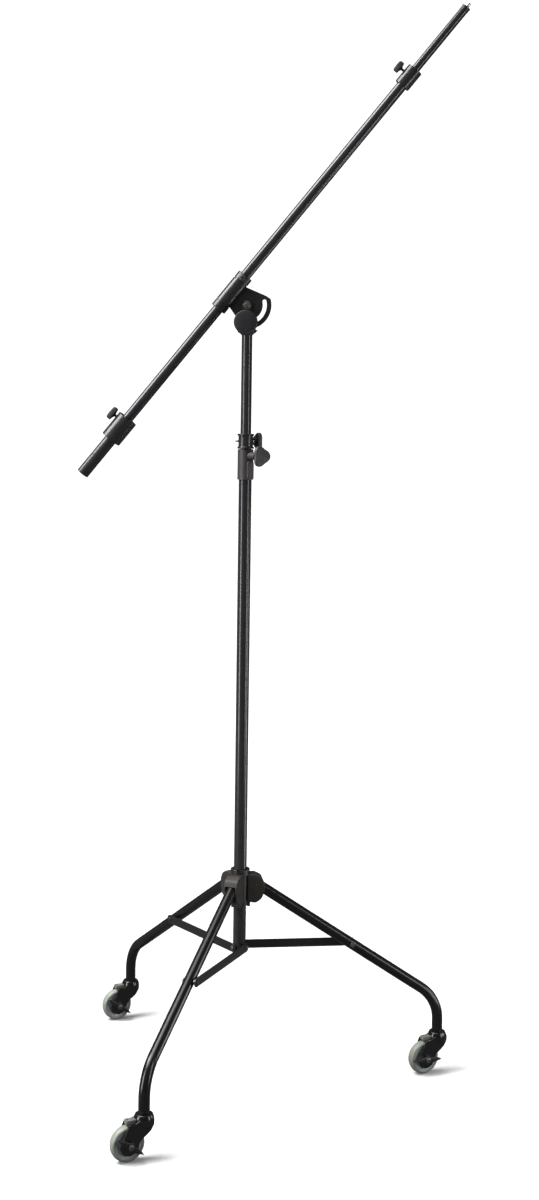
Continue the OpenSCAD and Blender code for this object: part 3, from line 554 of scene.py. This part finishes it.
def tilt_dial():
    line = COLUMN @ move(z=PIVOT.z - SLOT_R) @ TOWARDS_VIEWER
    r, neck = 27.5, 11
    low, inner, outer = -PLATE_FRONT + 2.8, 24.5, 45.0
    p = Piece("tilt_dial")
    p.lathe(line, [(4.05, low), (neck - 0.6, low), (neck, low + 0.5), (neck, inner + 0.2),
                   (r - 2.6, inner + 0.2), (r - 0.9, inner + 0.9), (r, inner + 2.6), (r, outer - 3.6),
                   (r - 0.25, outer - 2.5), (r - 1.1, outer - 1.7), (r - 1.9, outer - 1.55),
                   (r - 2.3, outer - 1.9), (r - 2.9, outer - 1.75), (r - 5, outer - 1.2),
                   (r - 12, outer - 0.4), (r - 20, outer - 0.08), (3.0, outer), (0, outer)], 96)
    obj = p.make(42)
    # Finger flutes round the rim
    cutters = Piece("flutes")
    flute = [(0, inner - 2), (2.9, inner - 2), (2.9, outer - 5.2), (1.6, outer - 3.4), (0, outer - 3.0)]
    for x, y in circle(r + 2.2, count=30):
        cutters.lathe(line @ move(x, y), flute, 14)
    cut(obj, cutters.make())
    fit(obj, DIAL, "tilt_screw", "knob_plastic", "tilt_knob")


def arc(radius, start, end, count):
    """Points on a circle round the pivot, angles in degrees from straight down the plate."""
    out = []
    for i in range(count + 1):
        a = math.radians(start + (end - start) * i / count)
        out.append((radius * math.sin(a), -radius * math.cos(a)))
    return out


def boom_clamp():
    """Two folded plates with a slot round the pivot, and the sleeve they carry."""
    plate_r, half_w = 56.5, 4.75
    fold, shoulder = 31.0, 44.6      # half widths of the plates at the sleeve and at the shoulders
    side = math.degrees(math.asin(45.6 / plate_r))
    outline = [(-fold, BOOM_OFFSET - 12), (-fold, BOOM_OFFSET - 20.5, 4), (-shoulder, -21, 9)]
    outline += arc(plate_r, -side, side, 40)
    outline += [(shoulder, -21, 9), (fold, BOOM_OFFSET - 20.5, 4), (fold, BOOM_OFFSET - 12)]
    outline = rounded(outline, 6)
    slot = arc(SLOT_R + half_w, -BOOM_RISE, BOOM_RISE, 40)
    end = math.radians(BOOM_RISE)
    cap = []
    for i in range(1, 10):
        a = end + math.pi * i / 10
        cap.append((SLOT_R * math.sin(end) + half_w * math.sin(a),
                    -SLOT_R * math.cos(end) - half_w * math.cos(a)))
    slot += cap + arc(SLOT_R - half_w, BOOM_RISE, -BOOM_RISE, 40) + [(-x, y) for x, y in reversed(cap)]
    hole = circle(5.02, count=40)
    face = BOOM @ TOWARDS_VIEWER
    p = Piece("boom_clamp_plates")
    for z0, z1 in ((-2.5, -0.12), (0.12, 2.5)):
        p.slab(face, outline, z0, z1, 0.45, (slot, hole))
    fit(p.make(), PLATE, "boom_clamp", "satin_black", "boom_clamp")
    s = Piece("boom_clamp_sleeve")
    s.pipe(BOOM_LINE @ ALONG_X, 19.0, 16.0, -31.5, 31.5, 0.5, 96)
    fit(s.make(), SATIN, "boom_clamp", "satin_black")


def boom_bushes():
    p = Piece("boom_bush_pair")
    for flip in (0, 180):
        line = BOOM_LINE @ turn(flip, "Z") @ ALONG_X
        p.lathe(line, rounded([(BOOM_CLEAR, 14), (15.95, 14), (15.95, 31.6), (17.3, 31.6),
                               (17.3, 33.1), (18.95, 33.3, 0.2), (18.95, 49.3, 1.2), (17.9, 50.5, 0.5),
                               (BOOM_CLEAR, 50.5, 0.3)], 4), 96, ring=True)
    fit(p.make(), BUSH_AND_HUB_SHADE, "boom_clamp", "bush_plastic", "boom_bushes")
    screw = Piece("boom_lock_screw_head")
    line = BOOM_LINE @ move(42.0) @ TOWARDS_VIEWER
    r = 7.8
    screw.lathe(line, [(0, 13.2), (SCREW_R, 13.2), (SCREW_R, 18.9), (r - 0.3, 18.9), (r, 19.3),
                       (r * 0.97, 20.2), (r * 0.86, 21.2), (r * 0.66, 21.9), (r * 0.42, 22.15),
                       (2.4, 22.2), (2.2, 20.4), (0, 20.2)], 48)
    fit(screw.make(), KNOB, "boom_clamp", "dark_steel", "boom_lock_screw")


head_yoke()
pivot_bolt()
tilt_dial()
boom_clamp()
boom_bushes()


# ---------------------------------------------------------------- boom fittings

# Places along the boom are measured from the point on its axis nearest to the pivot
WEIGHT_LOW = -446.0
WEIGHT_LEN = 63.0
COLLAR_U = 617.5      # near end of the boom's collar
BOOM_SNUG = 12.73     # bore of the pieces that are fixed on the boom tube


def thumb_knob(name, u, radius, tip, head, top, body, node):
    """Ridged thumbscrew head on a short neck, standing off the boom along its local Z."""
    line = BOOM_LINE @ move(u)
    p = Piece(name)
    p.lathe(line, [(0, tip), (SCREW_R, tip), (SCREW_R, head - 3.4), (radius * 0.42, head - 2.2),
                   (radius * 0.5, head + 0.4), (0, head + 0.4)], 40)
    tall = top - head
    p.loft(line, serrated(radius, 26, 0.5), [(0.88, head), (0.96, head + 0.3), (1.0, head + 1.2),
                                             (1.0, head + tall * 0.5), (0.98, head + tall * 0.72),
                                             (0.945, head + tall * 0.82)])
    p.lathe(line, [(0, head + tall * 0.5), (radius * 0.94, head + tall * 0.5),
                   (radius * 0.935, head + tall * 0.84), (radius * 0.87, head + tall * 0.93),
                   (radius * 0.6, head + tall * 0.985), (radius * 0.28, top - 0.03), (0, top)], 52)
    fit(p.make(), KNOB, body, "knob_plastic", node)


def boom_sleeves():
    """Collar, counterweight, tail sleeve and tip cap, all turned round the boom's axis."""
    line = BOOM_LINE @ ALONG_X
    step, end = COLLAR_U + 25, COLLAR_U + 49
    tube_bore, rim = 10.06, 18.8
    ring = Piece("boom_collar_ring")
    ring.lathe(line, rounded([(BOOM_SNUG, COLLAR_U), (rim, COLLAR_U, 1.0), (rim, end, 1.0),
                              (tube_bore, end, 0.5), (tube_bore, step), (BOOM_SNUG, step)], 4),
               96, ring=True)
    fit(ring.make(), SATIN, "boom", "satin_black", "boom_collar")
    weight = Piece("counterweight_body")
    weight.pipe(line, 24.8, BOOM_CLEAR, WEIGHT_LOW, WEIGHT_LOW + WEIGHT_LEN, 1.1, 96)
    fit(weight.make(), SATIN, "counterweight", "satin_black", "counterweight")
    low, groove, high = -551, -497.8, -447
    sleeve_r, groove_r = 14.8, 14.2
    tail = Piece("tail_sleeve_tube")
    tail.lathe(line, rounded([(0.01, low), (sleeve_r, low, 1.2), (sleeve_r, groove - 0.8, 0.2),
                              (groove_r, groove - 0.4), (groove_r, groove + 0.4),
                              (sleeve_r, groove + 0.8, 0.2), (sleeve_r, high, 0.6), (BOOM_SNUG, high),
                              (BOOM_SNUG, low + 3), (0.01, low + 3)], 4), 96, ring=True)
    fit(tail.make(), SATIN, "boom", "satin_black", "tail_sleeve")
    plug, shoulder, tip = 822, 839.34, 851
    cap = Piece("boom_tip_cap")
    cap.lathe(line, rounded([(0.01, plug), (8.45, plug), (8.45, shoulder), (10.2, shoulder, 0.3),
                             (10.2, tip - 3.4, 0.2), (10.9, tip - 2.9, 0.4), (10.9, tip, 0.8),
                             (0.01, tip)], 4), 72, ring=True)
    fit(cap.make(), BUSH_AND_HUB_SHADE, "extension", "bush_plastic", "boom_end_cap")


def mic_stud():
    """Stud with its helical thread cut in, pitch and crest of a 3/8 inch coarse thread."""
    pitch, crest, depth = 1.5875, 4.76, 0.72
    u0, u1 = 850.4, 862.0
    seg, rows = 48, 88
    line = BOOM_LINE @ ALONG_X
    p = Piece("mic_stud_thread")
    grid = []
    for j in range(rows + 1):
        z = u0 + (u1 - u0) * j / rows
        ease = min(1.0, (u1 - z) / 1.1, (z - u0) / 1.0)
        ring = []
        for i in range(seg):
            a = 2 * math.pi * i / seg
            phase = (z / pitch - i / seg) % 1.0
            tooth = abs(phase * 2 - 1)
            cut_in = depth * min(1.0, max(0.0, (tooth - 0.12) / 0.76))
            r = crest - depth * (1 - ease) - cut_in * ease
            ring.append((r * math.cos(a), r * math.sin(a), z))
        grid.append(p.verts(ring, line))
    for low, high in zip(grid, grid[1:]):
        for i in range(seg):
            j = (i + 1) % seg
            p.bm.faces.new((low[i], low[j], high[j], high[i]))
    p.bm.faces.new(grid[0])
    p.bm.faces.new(grid[-1])
    fit(p.make(50), STUD, "extension", "stud_steel", "mic_stud")


thumb_knob("boom_collar_screw", COLLAR_U + 29.5, radius=14.2, tip=10.4, head=28.0, top=40.0,
           body="boom_screw", node="boom_thumbscrew")
thumb_knob("counterweight_screw", WEIGHT_LOW + 49.3, radius=16.0, tip=13.1, head=31.0, top=42.8,
           body="weight_screw", node="weight_thumbscrew")
boom_sleeves()
mic_stud()


# ---------------------------------------------------------------- tripod

HUB_R = 37.0
HUB_Z = joint_pos("leg_1_fold").z
HUB_TOP = HUB_Z + 35.05
STRUT_Z = joint_pos("strut_1_fold").z
LEG_SLOPE = 32.8
STRUT_R = HUB_R + (HUB_Z - STRUT_Z) / math.tan(math.radians(LEG_SLOPE))


def leg_hub():
    """Hub ring with three hooded ears, hollow underneath for the leg ends."""
    ring = Piece("leg_hub_ring")
    low, bore_r = HUB_Z - 49, 15.12
    ring.lathe(COLUMN, rounded([(bore_r, low), (19.5, low, 1.5), (20.0, HUB_Z - 9), (20.2, HUB_TOP - 15),
                                (22.2, HUB_TOP - 14, 1.0), (22.3, HUB_TOP, 1.4), (16.4, HUB_TOP, 0.8),
                                (bore_r, HUB_TOP - 2.4)], 4), 96, ring=True)
    notch = Piece("notch")
    notch_line = COLUMN @ turn(-6, "Z") @ TOWARDS_VIEWER @ move(0, HUB_TOP)
    notch.slab(notch_line, [(-6.5, 2), (0, -6.2), (6.5, 2)], 12, 30, 0)
    # The hub ring takes the darker bush finish instead of the hub plastic: painted shade on the sleeve between the
    # ears.
    fit(cut(ring.make(), notch.make()), BUSH_AND_HUB_SHADE, "hub", "hub_plastic", "leg_hub")
    outline = rounded([(15.6, 24), (HUB_R - 3, 24.5, 12), (HUB_R + 13, 17, 16), (HUB_R + 19.3, 2, 14),
                       (HUB_R + 19.5, -14, 16), (HUB_R + 13, -33, 16), (HUB_R - 1, -42.5, 14),
                       (HUB_R - 14, -40.5, 6), (15.6, -38)], 6)
    nose, far = 13.5, HUB_R + 60
    room = [(HUB_R - nose, -62), (HUB_R - nose, nose * 0.4), (HUB_R - nose * 0.4, nose),
            (HUB_R + 4.3, nose), (far, nose - 55.7 * math.tan(math.radians(LEG_SLOPE))), (far, -62)]
    lip_path = rounded([(HUB_R - 14, 13.4), (HUB_R + 6, 13.4, 8), (HUB_R + 14.0, 7.5), (HUB_R + 15.2, 9.6),
                        (HUB_R + 7, 16.2, 8), (HUB_R - 14, 16.2)], 4)
    back_path = rounded([(15.3, -12), (23.2, -12, 1.5), (23.2, 12, 1.5), (15.3, 12)], 3)
    ear_half, room_half = 16.75, 13
    for k in (1, 2, 3):
        face = leg_axes(k) @ move(z=HUB_Z) @ TOWARDS_VIEWER
        ear = Piece("leg_hub_ear_%d" % k)
        ear.slab(face, outline, -ear_half, ear_half, 2.6, steps=5)
        inner = Piece("room")
        inner.slab(face, room, -room_half, room_half, 0)
        bore = Piece("bore")
        bore.lathe(COLUMN, [(0, HUB_Z - 80), (15.2, HUB_Z - 80), (15.2, HUB_Z + 60), (0, HUB_Z + 60)], 64)
        fit(cut(ear.make(), inner.make(), bore.make()), HUB, "hub", "hub_plastic")
        lip = Piece("leg_hub_lip_%d" % k)
        for z0, z1 in ((-16.8, -16.2), (16.2, 16.8)):
            lip.slab(face, lip_path, z0, z1, 0.25)
        fit(lip.make(), HUB, "hub", "hub_plastic")
        back = Piece("leg_hub_back_%d" % k)
        back.slab(leg_axes(k), back_path, HUB_Z - 51, HUB_Z + 2, 0.7)
        # The back plates take the darker bush finish too, as painted shade.
        fit(back.make(), BUSH_AND_HUB_SHADE, "hub", "hub_plastic")
    pins = Piece("leg_pivot_pin_set")
    for k in (1, 2, 3):
        line = leg_axes(k) @ move(HUB_R, 0, HUB_Z) @ ALONG_Y
        pins.lathe(line, [(0, -16.8), (1.4, -16.8), (1.7, -16.5), (3.0, -16.5), (3.0, 16.5),
                          (1.7, 16.5), (1.4, 16.8), (0, 16.8)], 28)
    fit(pins.make(), DARK_STEEL, "hub", "dark_steel", "leg_pivot_pins")


def half_round(radius, start):
    return [(radius * math.cos(math.radians(a)), radius * math.sin(math.radians(a)))
            for a in range(start, start + 181, 9)]


def struts():
    """Flat bars from the column to the legs, with the bolt at one end and the rivet at the other."""
    half = 10.0
    outline = [(STRUT_R + x, y) for x, y in half_round(half, -90)] + half_round(half, 90)
    for k in (1, 2, 3):
        face = leg_axes(k) @ move(z=STRUT_Z) @ ALONG_Y
        bar = Piece("strut_bar_%d" % k)
        bar.slab(face, outline, 16.8, 19.8, 0.7, (circle(2.55, count=28),))
        line = face @ move(STRUT_R)
        bar.lathe(line, [(0, 19.4), (5.0, 19.4), (4.9, 20.4), (4.2, 21.3), (2.6, 21.9), (0, 22.0)], 36)
        fit(bar.make(), STRUT, "strut_%d" % k, "strut_black", "strut_%d" % k)
        bolt = Piece("leg_bolt_set_%d" % k)
        bolt.lathe(line, rounded([(0.01, -15.3), (5.4, -14.6, 0.8), (5.4, -12.5), (3.0, -12.5), (3.0, 12.5),
                                  (5.2, 12.5), (5.2, 16.5, 0.4), (0.01, 16.5)], 3), 36, ring=True)
        fit(bolt.make(), DARK_STEEL, "leg_%d" % k, "dark_steel", "leg_bolt_%d" % k)
    rivets = Piece("strut_rivet_set")
    for k in (1, 2, 3):
        line = leg_axes(k) @ move(z=STRUT_Z) @ ALONG_Y
        rivets.lathe(line, [(0, 6.5), (2.5, 6.5), (2.5, 15.2), (4.0, 15.2), (4.0, 16.45), (2.5, 16.45),
                            (2.5, 20.15), (5.0, 20.15), (4.9, 21.2), (4.0, 22.1), (2.0, 22.5),
                            (0, 22.5)], 32)
    fit(rivets.make(), DARK_STEEL, "column", "dark_steel", "strut_pivot_rivets")


leg_hub()
struts()


# ---------------------------------------------------------------- casters

WHEEL_Z = 37.5        # axle's height over the floor
TRAIL = 37.0          # axle's distance from the swivel axis
AXLE_BORE = 4.06
DOME_R = 22.0
DOME_Z = FORK_TOP - 12.8
STEM_TOP = FORK_TOP + 24.6
FORK_IN = 13.0        # inner and outer faces of the cheeks, from the wheel's middle
FORK_OUT = 17.0
ROCKER_IN = 17.6
ROCKER_OUT = 25.6
ROCKER_TILTS = {1: 2.0, 2: 34.0, 3: 34.0}   # degrees, by caster


def caster_fork(k, at):
    side = at @ TOWARDS_VIEWER
    # Domed swivel housing with a flat top round the stem, hollowed out over the wheel
    flat = math.sqrt(DOME_R ** 2 - (FORK_TOP - DOME_Z) ** 2)
    profile = [(0, DOME_Z - DOME_R)]
    profile += [(DOME_R * math.cos(math.radians(a)), DOME_Z + DOME_R * math.sin(math.radians(a)))
                for a in range(-84, 32, 4)]
    profile += [(flat + 0.8, FORK_TOP - 0.9), (flat - 0.5, FORK_TOP), (5.2, FORK_TOP), (5.0, FORK_TOP + 0.2),
                (5.0, STEM_TOP - 0.4), (4.6, STEM_TOP), (0, STEM_TOP)]
    dome = Piece("caster_%d_housing" % k)
    dome.lathe(at, profile, 72)
    room = Piece("room")
    room.slab(side, circle(39.4, TRAIL, WHEEL_Z, 96), -FORK_IN - 0.2, FORK_IN + 0.2, 0)
    fit(cut(dome.make(), room.make()), FORK, "caster_%d" % k, "fork_black", "caster_fork_%d" % k)
    cheek = rounded([(-17.5, 88, 4), (-17, 74, 14), (-10.5, 62.5, 12), (-2, 55, 14), (10, 46.5, 8),
                     (16.2, 37, 8), (20, 22, 12), (TRAIL, 15.6, 16), (TRAIL + 17.5, 21, 14),
                     (TRAIL + 21, 38, 14), (TRAIL + 14, 53, 10), (TRAIL + 9, 62, 10),
                     (TRAIL + 5.5, 72, 10), (TRAIL + 2, 80, 5), (25, 81, 6), (14, 86, 8), (-8, 89, 8)], 5)
    cheeks = Piece("caster_%d_cheeks" % k)
    for z0, z1 in ((-FORK_OUT, -FORK_IN), (FORK_IN, FORK_OUT)):
        cheeks.slab(side, cheek, z0, z1, 1.3)
    fit(cheeks.make(), FORK, "caster_%d" % k, "fork_black")
    # Shield over the wheel that joins the cheeks
    arch = Piece("caster_%d_bridge" % k)
    path = [(41.5, a) for a in range(92, 158, 6)] + [(39.0, a) for a in range(152, 90, -6)]
    band = [(TRAIL + r * math.cos(math.radians(a)), WHEEL_Z + r * math.sin(math.radians(a)))
            for r, a in path]
    arch.slab(side, band, -14.5, 14.5, 0.6)
    fit(arch.make(), FORK, "caster_%d" % k, "fork_black")
    # The top web's end is fork plastic in a grey finish: painted sheen from above.
    tab = Piece("caster_%d_tab" % k)
    outline = rounded([(14, -8), (41.8, -8, 2.0), (41.8, 8, 2.0), (14, 8)], 4)
    tab.slab(at, outline, 77.8, 86.2, 0.5, (circle(2.2, 36.5, 0, 20),))
    fit(tab.make(), TAB_SHEEN, "caster_%d" % k, "fork_black")


def caster_wheel(k, at):
    line = at @ move(TRAIL, 0, WHEEL_Z) @ ALONG_Y
    core = Piece("wheel_%d_disc" % k)
    half = [(AXLE_BORE, 12.6), (9.6, 12.6), (10.6, 12.0), (11.2, 9.0), (12.6, 6.6), (15, 5.9), (22, 5.6),
            (24.0, 6.6), (24.6, 8.6), (25.4, 9.3), (27.96, 9.3)]
    core.lathe(line, half + [(r, -z) for r, z in reversed(half)], 72, ring=True)
    for i in range(6):
        spoke = line @ turn(60 * i, "Z")
        for low, high in ((5.0, 7.6), (-7.6, -5.0)):
            core.slab(spoke, [(11, -1.3), (24.6, -1.3), (24.6, 1.3), (11, 1.3)], low, high, 0.4)
    fit(core.make(), WHEEL, "wheel_%d" % k, "wheel_grey", "wheel_core_%d" % k)
    tyre = Piece("wheel_%d_tyre" % k)
    side = [(28.05, 9.4), (29.4, 10.4), (31.2, 10.95), (33.2, 10.6), (34.6, 9.6), (35.9, 7.8), (36.7, 5.6),
            (37.2, 3.2), (37.42, 1.6), (37.48, 0.5)]
    tyre.lathe(line, side + [(r, -z) for r, z in reversed(side)], 96, ring=True)
    fit(tyre.make(), TYRE, "wheel_%d" % k, "tyre_grey", "tyre_%d" % k)


def caster_axle(k, at):
    line = at @ move(TRAIL, 0, WHEEL_Z) @ ALONG_Y
    p = Piece("caster_%d_axle_bolt" % k)
    p.lathe(line, [(0, -22), (3.4, -22), (4.0, -21.5), (4.0, 25.9), (5.9, 25.9), (6.0, 26.5), (5.6, 27.6),
                   (4.4, 28.3), (2.4, 28.5), (2.2, 27.4), (0, 27.3)], 40)
    p.loft(line, hex_outline(11.2, 0.6), [(0.9, -21.5), (1.0, -21.0), (1.0, -17.1)])
    fit(p.make(30), DARK_STEEL, "caster_%d" % k, "dark_steel", "caster_axle_%d" % k)


def brake_lever(k, at):
    """Rocker pedal: a lens-shaped bar with a round hub on the axle and ribbed treads at its ends."""
    side = at @ move(TRAIL, 0, WHEEL_Z) @ turn(-ROCKER_TILTS[k], "Y") @ ALONG_Y
    half, blade = 36.0, 6.0
    arc_r = (half * half + blade * blade) / (2 * blade)

    def rise(x):
        return math.sqrt(arc_r ** 2 - x * x) - arc_r + blade

    steps, trim = 40, 0.6
    top = []
    for i in range(steps + 1):
        x = -half + trim + 2 * (half - trim) * i / steps
        top.append((x, rise(x)))
    outline = [(x, -y) for x, y in top] + top[::-1]
    p = Piece("brake_%d_pedal" % k)
    p.slab(side, outline, ROCKER_IN, ROCKER_OUT, 1.2)
    p.lathe(side, rounded([(AXLE_BORE, ROCKER_IN), (9, ROCKER_IN, 0.4), (9, ROCKER_OUT, 1.2),
                           (AXLE_BORE, ROCKER_OUT)], 4), 48, ring=True)
    for s in (-1, 1):
        for i in range(4):
            x = s * (16.5 + 4.2 * i)
            tall = rise(x) + 0.4
            rib = [(x - 0.7, -tall), (x + 0.7, -tall), (x + 0.7, tall), (x - 0.7, tall)]
            p.slab(side, rib, ROCKER_IN + 1.4, ROCKER_OUT - 0.4, 0.3)
    fit(p.make(), LEVER, "brake_%d" % k, "fork_black", "brake_rocker_%d" % k)


for k in (1, 2, 3):
    at = caster_axes(k)
    caster_fork(k, at)
    caster_wheel(k, at)
    caster_axle(k, at)
    brake_lever(k, at)


# ---------------------------------------------------------------- floor, light and camera

DIM = 0.11   # what floor and sky give to every ray but the camera's


def camera_sees(tree, seen, other, output):
    """Shows one shader to the camera and the other to every other ray."""
    ray = tree.nodes.new("ShaderNodeLightPath")
    pick = tree.nodes.new("ShaderNodeMixShader")
    tree.links.new(ray.outputs["Is Camera Ray"], pick.inputs["Fac"])
    tree.links.new(other, pick.inputs[1])
    tree.links.new(seen, pick.inputs[2])
    tree.links.new(pick.outputs["Shader"], tree.nodes[output].inputs["Surface"])


reach = 30.0
corners = [(-reach, -reach, 0), (reach, -reach, 0), (reach, reach, 0), (-reach, reach, 0)]
floor_mesh = bpy.data.meshes.new("floor")
floor_mesh.from_pydata(corners, [], [(0, 1, 2, 3)])
floor = bpy.data.objects.new("floor", floor_mesh)
bpy.context.scene.collection.objects.link(floor)
floor_mat = bpy.data.materials.new("pale_floor")
floor_mat.use_nodes = True
floor_tree = floor_mat.node_tree
pale = floor_tree.nodes["Principled BSDF"]
pale.inputs["Base Color"].default_value = (0.76, 0.76, 0.76, 1)
pale.inputs["Roughness"].default_value = 0.9
pale.inputs["Specular IOR Level"].default_value = 0.0
pale.inputs["Emission Color"].default_value = (1, 1, 1, 1)
# The floor lifts to white between 1 and 4 m from the stand, where the lamps no longer reach it
floor_spot = floor_tree.nodes.new("ShaderNodeNewGeometry")
floor_far = floor_tree.nodes.new("ShaderNodeVectorMath")
floor_far.operation = "LENGTH"
floor_lift = floor_tree.nodes.new("ShaderNodeMapRange")
for socket, value in (("From Min", 1.0), ("From Max", 4.0), ("To Min", 0.03), ("To Max", 0.5)):
    floor_lift.inputs[socket].default_value = value
floor_tree.links.new(floor_spot.outputs["Position"], floor_far.inputs[0])
floor_tree.links.new(floor_far.outputs["Value"], floor_lift.inputs["Value"])
floor_tree.links.new(floor_lift.outputs["Result"], pale.inputs["Emission Strength"])
# A dark floor to every ray but the camera's, so that it doesn't grey the black finishes
dull = floor_tree.nodes.new("ShaderNodeBsdfDiffuse")
dull.inputs["Color"].default_value = (DIM, DIM, DIM, 1)
camera_sees(floor_tree, pale.outputs["BSDF"], dull.outputs["BSDF"], "Material Output")
floor_mesh.materials.append(floor_mat)

# White to the camera, dim to everything it lights or is mirrored in
world = bpy.data.worlds.new("studio")
bpy.context.scene.world = world
world.use_nodes = True
dim = world.node_tree.nodes["Background"]
dim.inputs["Color"].default_value = (1, 1, 1, 1)
dim.inputs["Strength"].default_value = DIM
seen = world.node_tree.nodes.new("ShaderNodeBackground")
seen.inputs["Color"].default_value = (1, 1, 1, 1)
seen.inputs["Strength"].default_value = 1.2
camera_sees(world.node_tree, seen.outputs["Background"], dim.outputs["Background"], "World Output")

sun_data = bpy.data.lights.new("sky_panel", "SUN")
sun_data.energy = 2.6
sun_data.angle = math.radians(50)
sun = bpy.data.objects.new("sky_panel", sun_data)
sun.rotation_euler = Vector((0.35, 0.12, -1.0)).to_track_quat("-Z", "Y").to_euler()
bpy.context.scene.collection.objects.link(sun)


def softbox(name, place, target, width, height, power):
    """Rectangular lamp, in metres and watts, turned towards its target."""
    data = bpy.data.lights.new(name, "AREA")
    data.shape = "RECTANGLE"
    data.size = width
    data.size_y = height
    data.energy = power
    lamp = bpy.data.objects.new(name, data)
    lamp.location = place
    lamp.rotation_euler = (Vector(target) - Vector(place)).to_track_quat("-Z", "Y").to_euler()
    bpy.context.scene.collection.objects.link(lamp)


MIDDLE = (0, 0, 1.1)
BOOM_MIDDLE = (0, 0, 1.85)
softbox("left_strip", place=(-2.85, -1.85, 1.1), target=MIDDLE, width=0.55, height=2.6, power=76)
softbox("right_strip", place=(3.05, -1.5, 1.1), target=MIDDLE, width=0.4, height=2.6, power=42)
softbox("boom_panel", place=(-2.35, -0.53, 3.78), target=BOOM_MIDDLE, width=1.9, height=2.3, power=230)
softbox("low_strip", place=(1.47, 0.15, 0.64), target=BOOM_MIDDLE, width=0.25, height=1.3, power=9)

# The camera looks straight ahead, neither up nor down: along +Y turned by HEADING, and tipped to one side
# by ROLL. Its lens is shifted down, so that the horizon lies above the picture's middle.
CAMERA_PLACE = Vector((390, -3981, 1585.2))   # millimetres, from the foot of the column's axis
HEADING, ROLL = 4.82, 0.736                   # degrees
LENS, SENSOR = 51.471, 36.0
LENS_SHIFT = -0.1691667
camera_data = bpy.data.cameras.new("camera")
camera_data.sensor_fit = "AUTO"
camera_data.sensor_width = SENSOR
camera_data.lens = LENS
camera_data.shift_y = LENS_SHIFT
camera = bpy.data.objects.new("camera", camera_data)
bpy.context.scene.collection.objects.link(camera)
spot = Matrix.Translation((COLUMN.translation + CAMERA_PLACE) * MM)
camera.matrix_world = spot @ turn(HEADING, "Z") @ turn(90, "X") @ turn(ROLL, "Z")
bpy.context.scene.camera = camera
bpy.context.scene.view_settings.view_transform = "Standard"
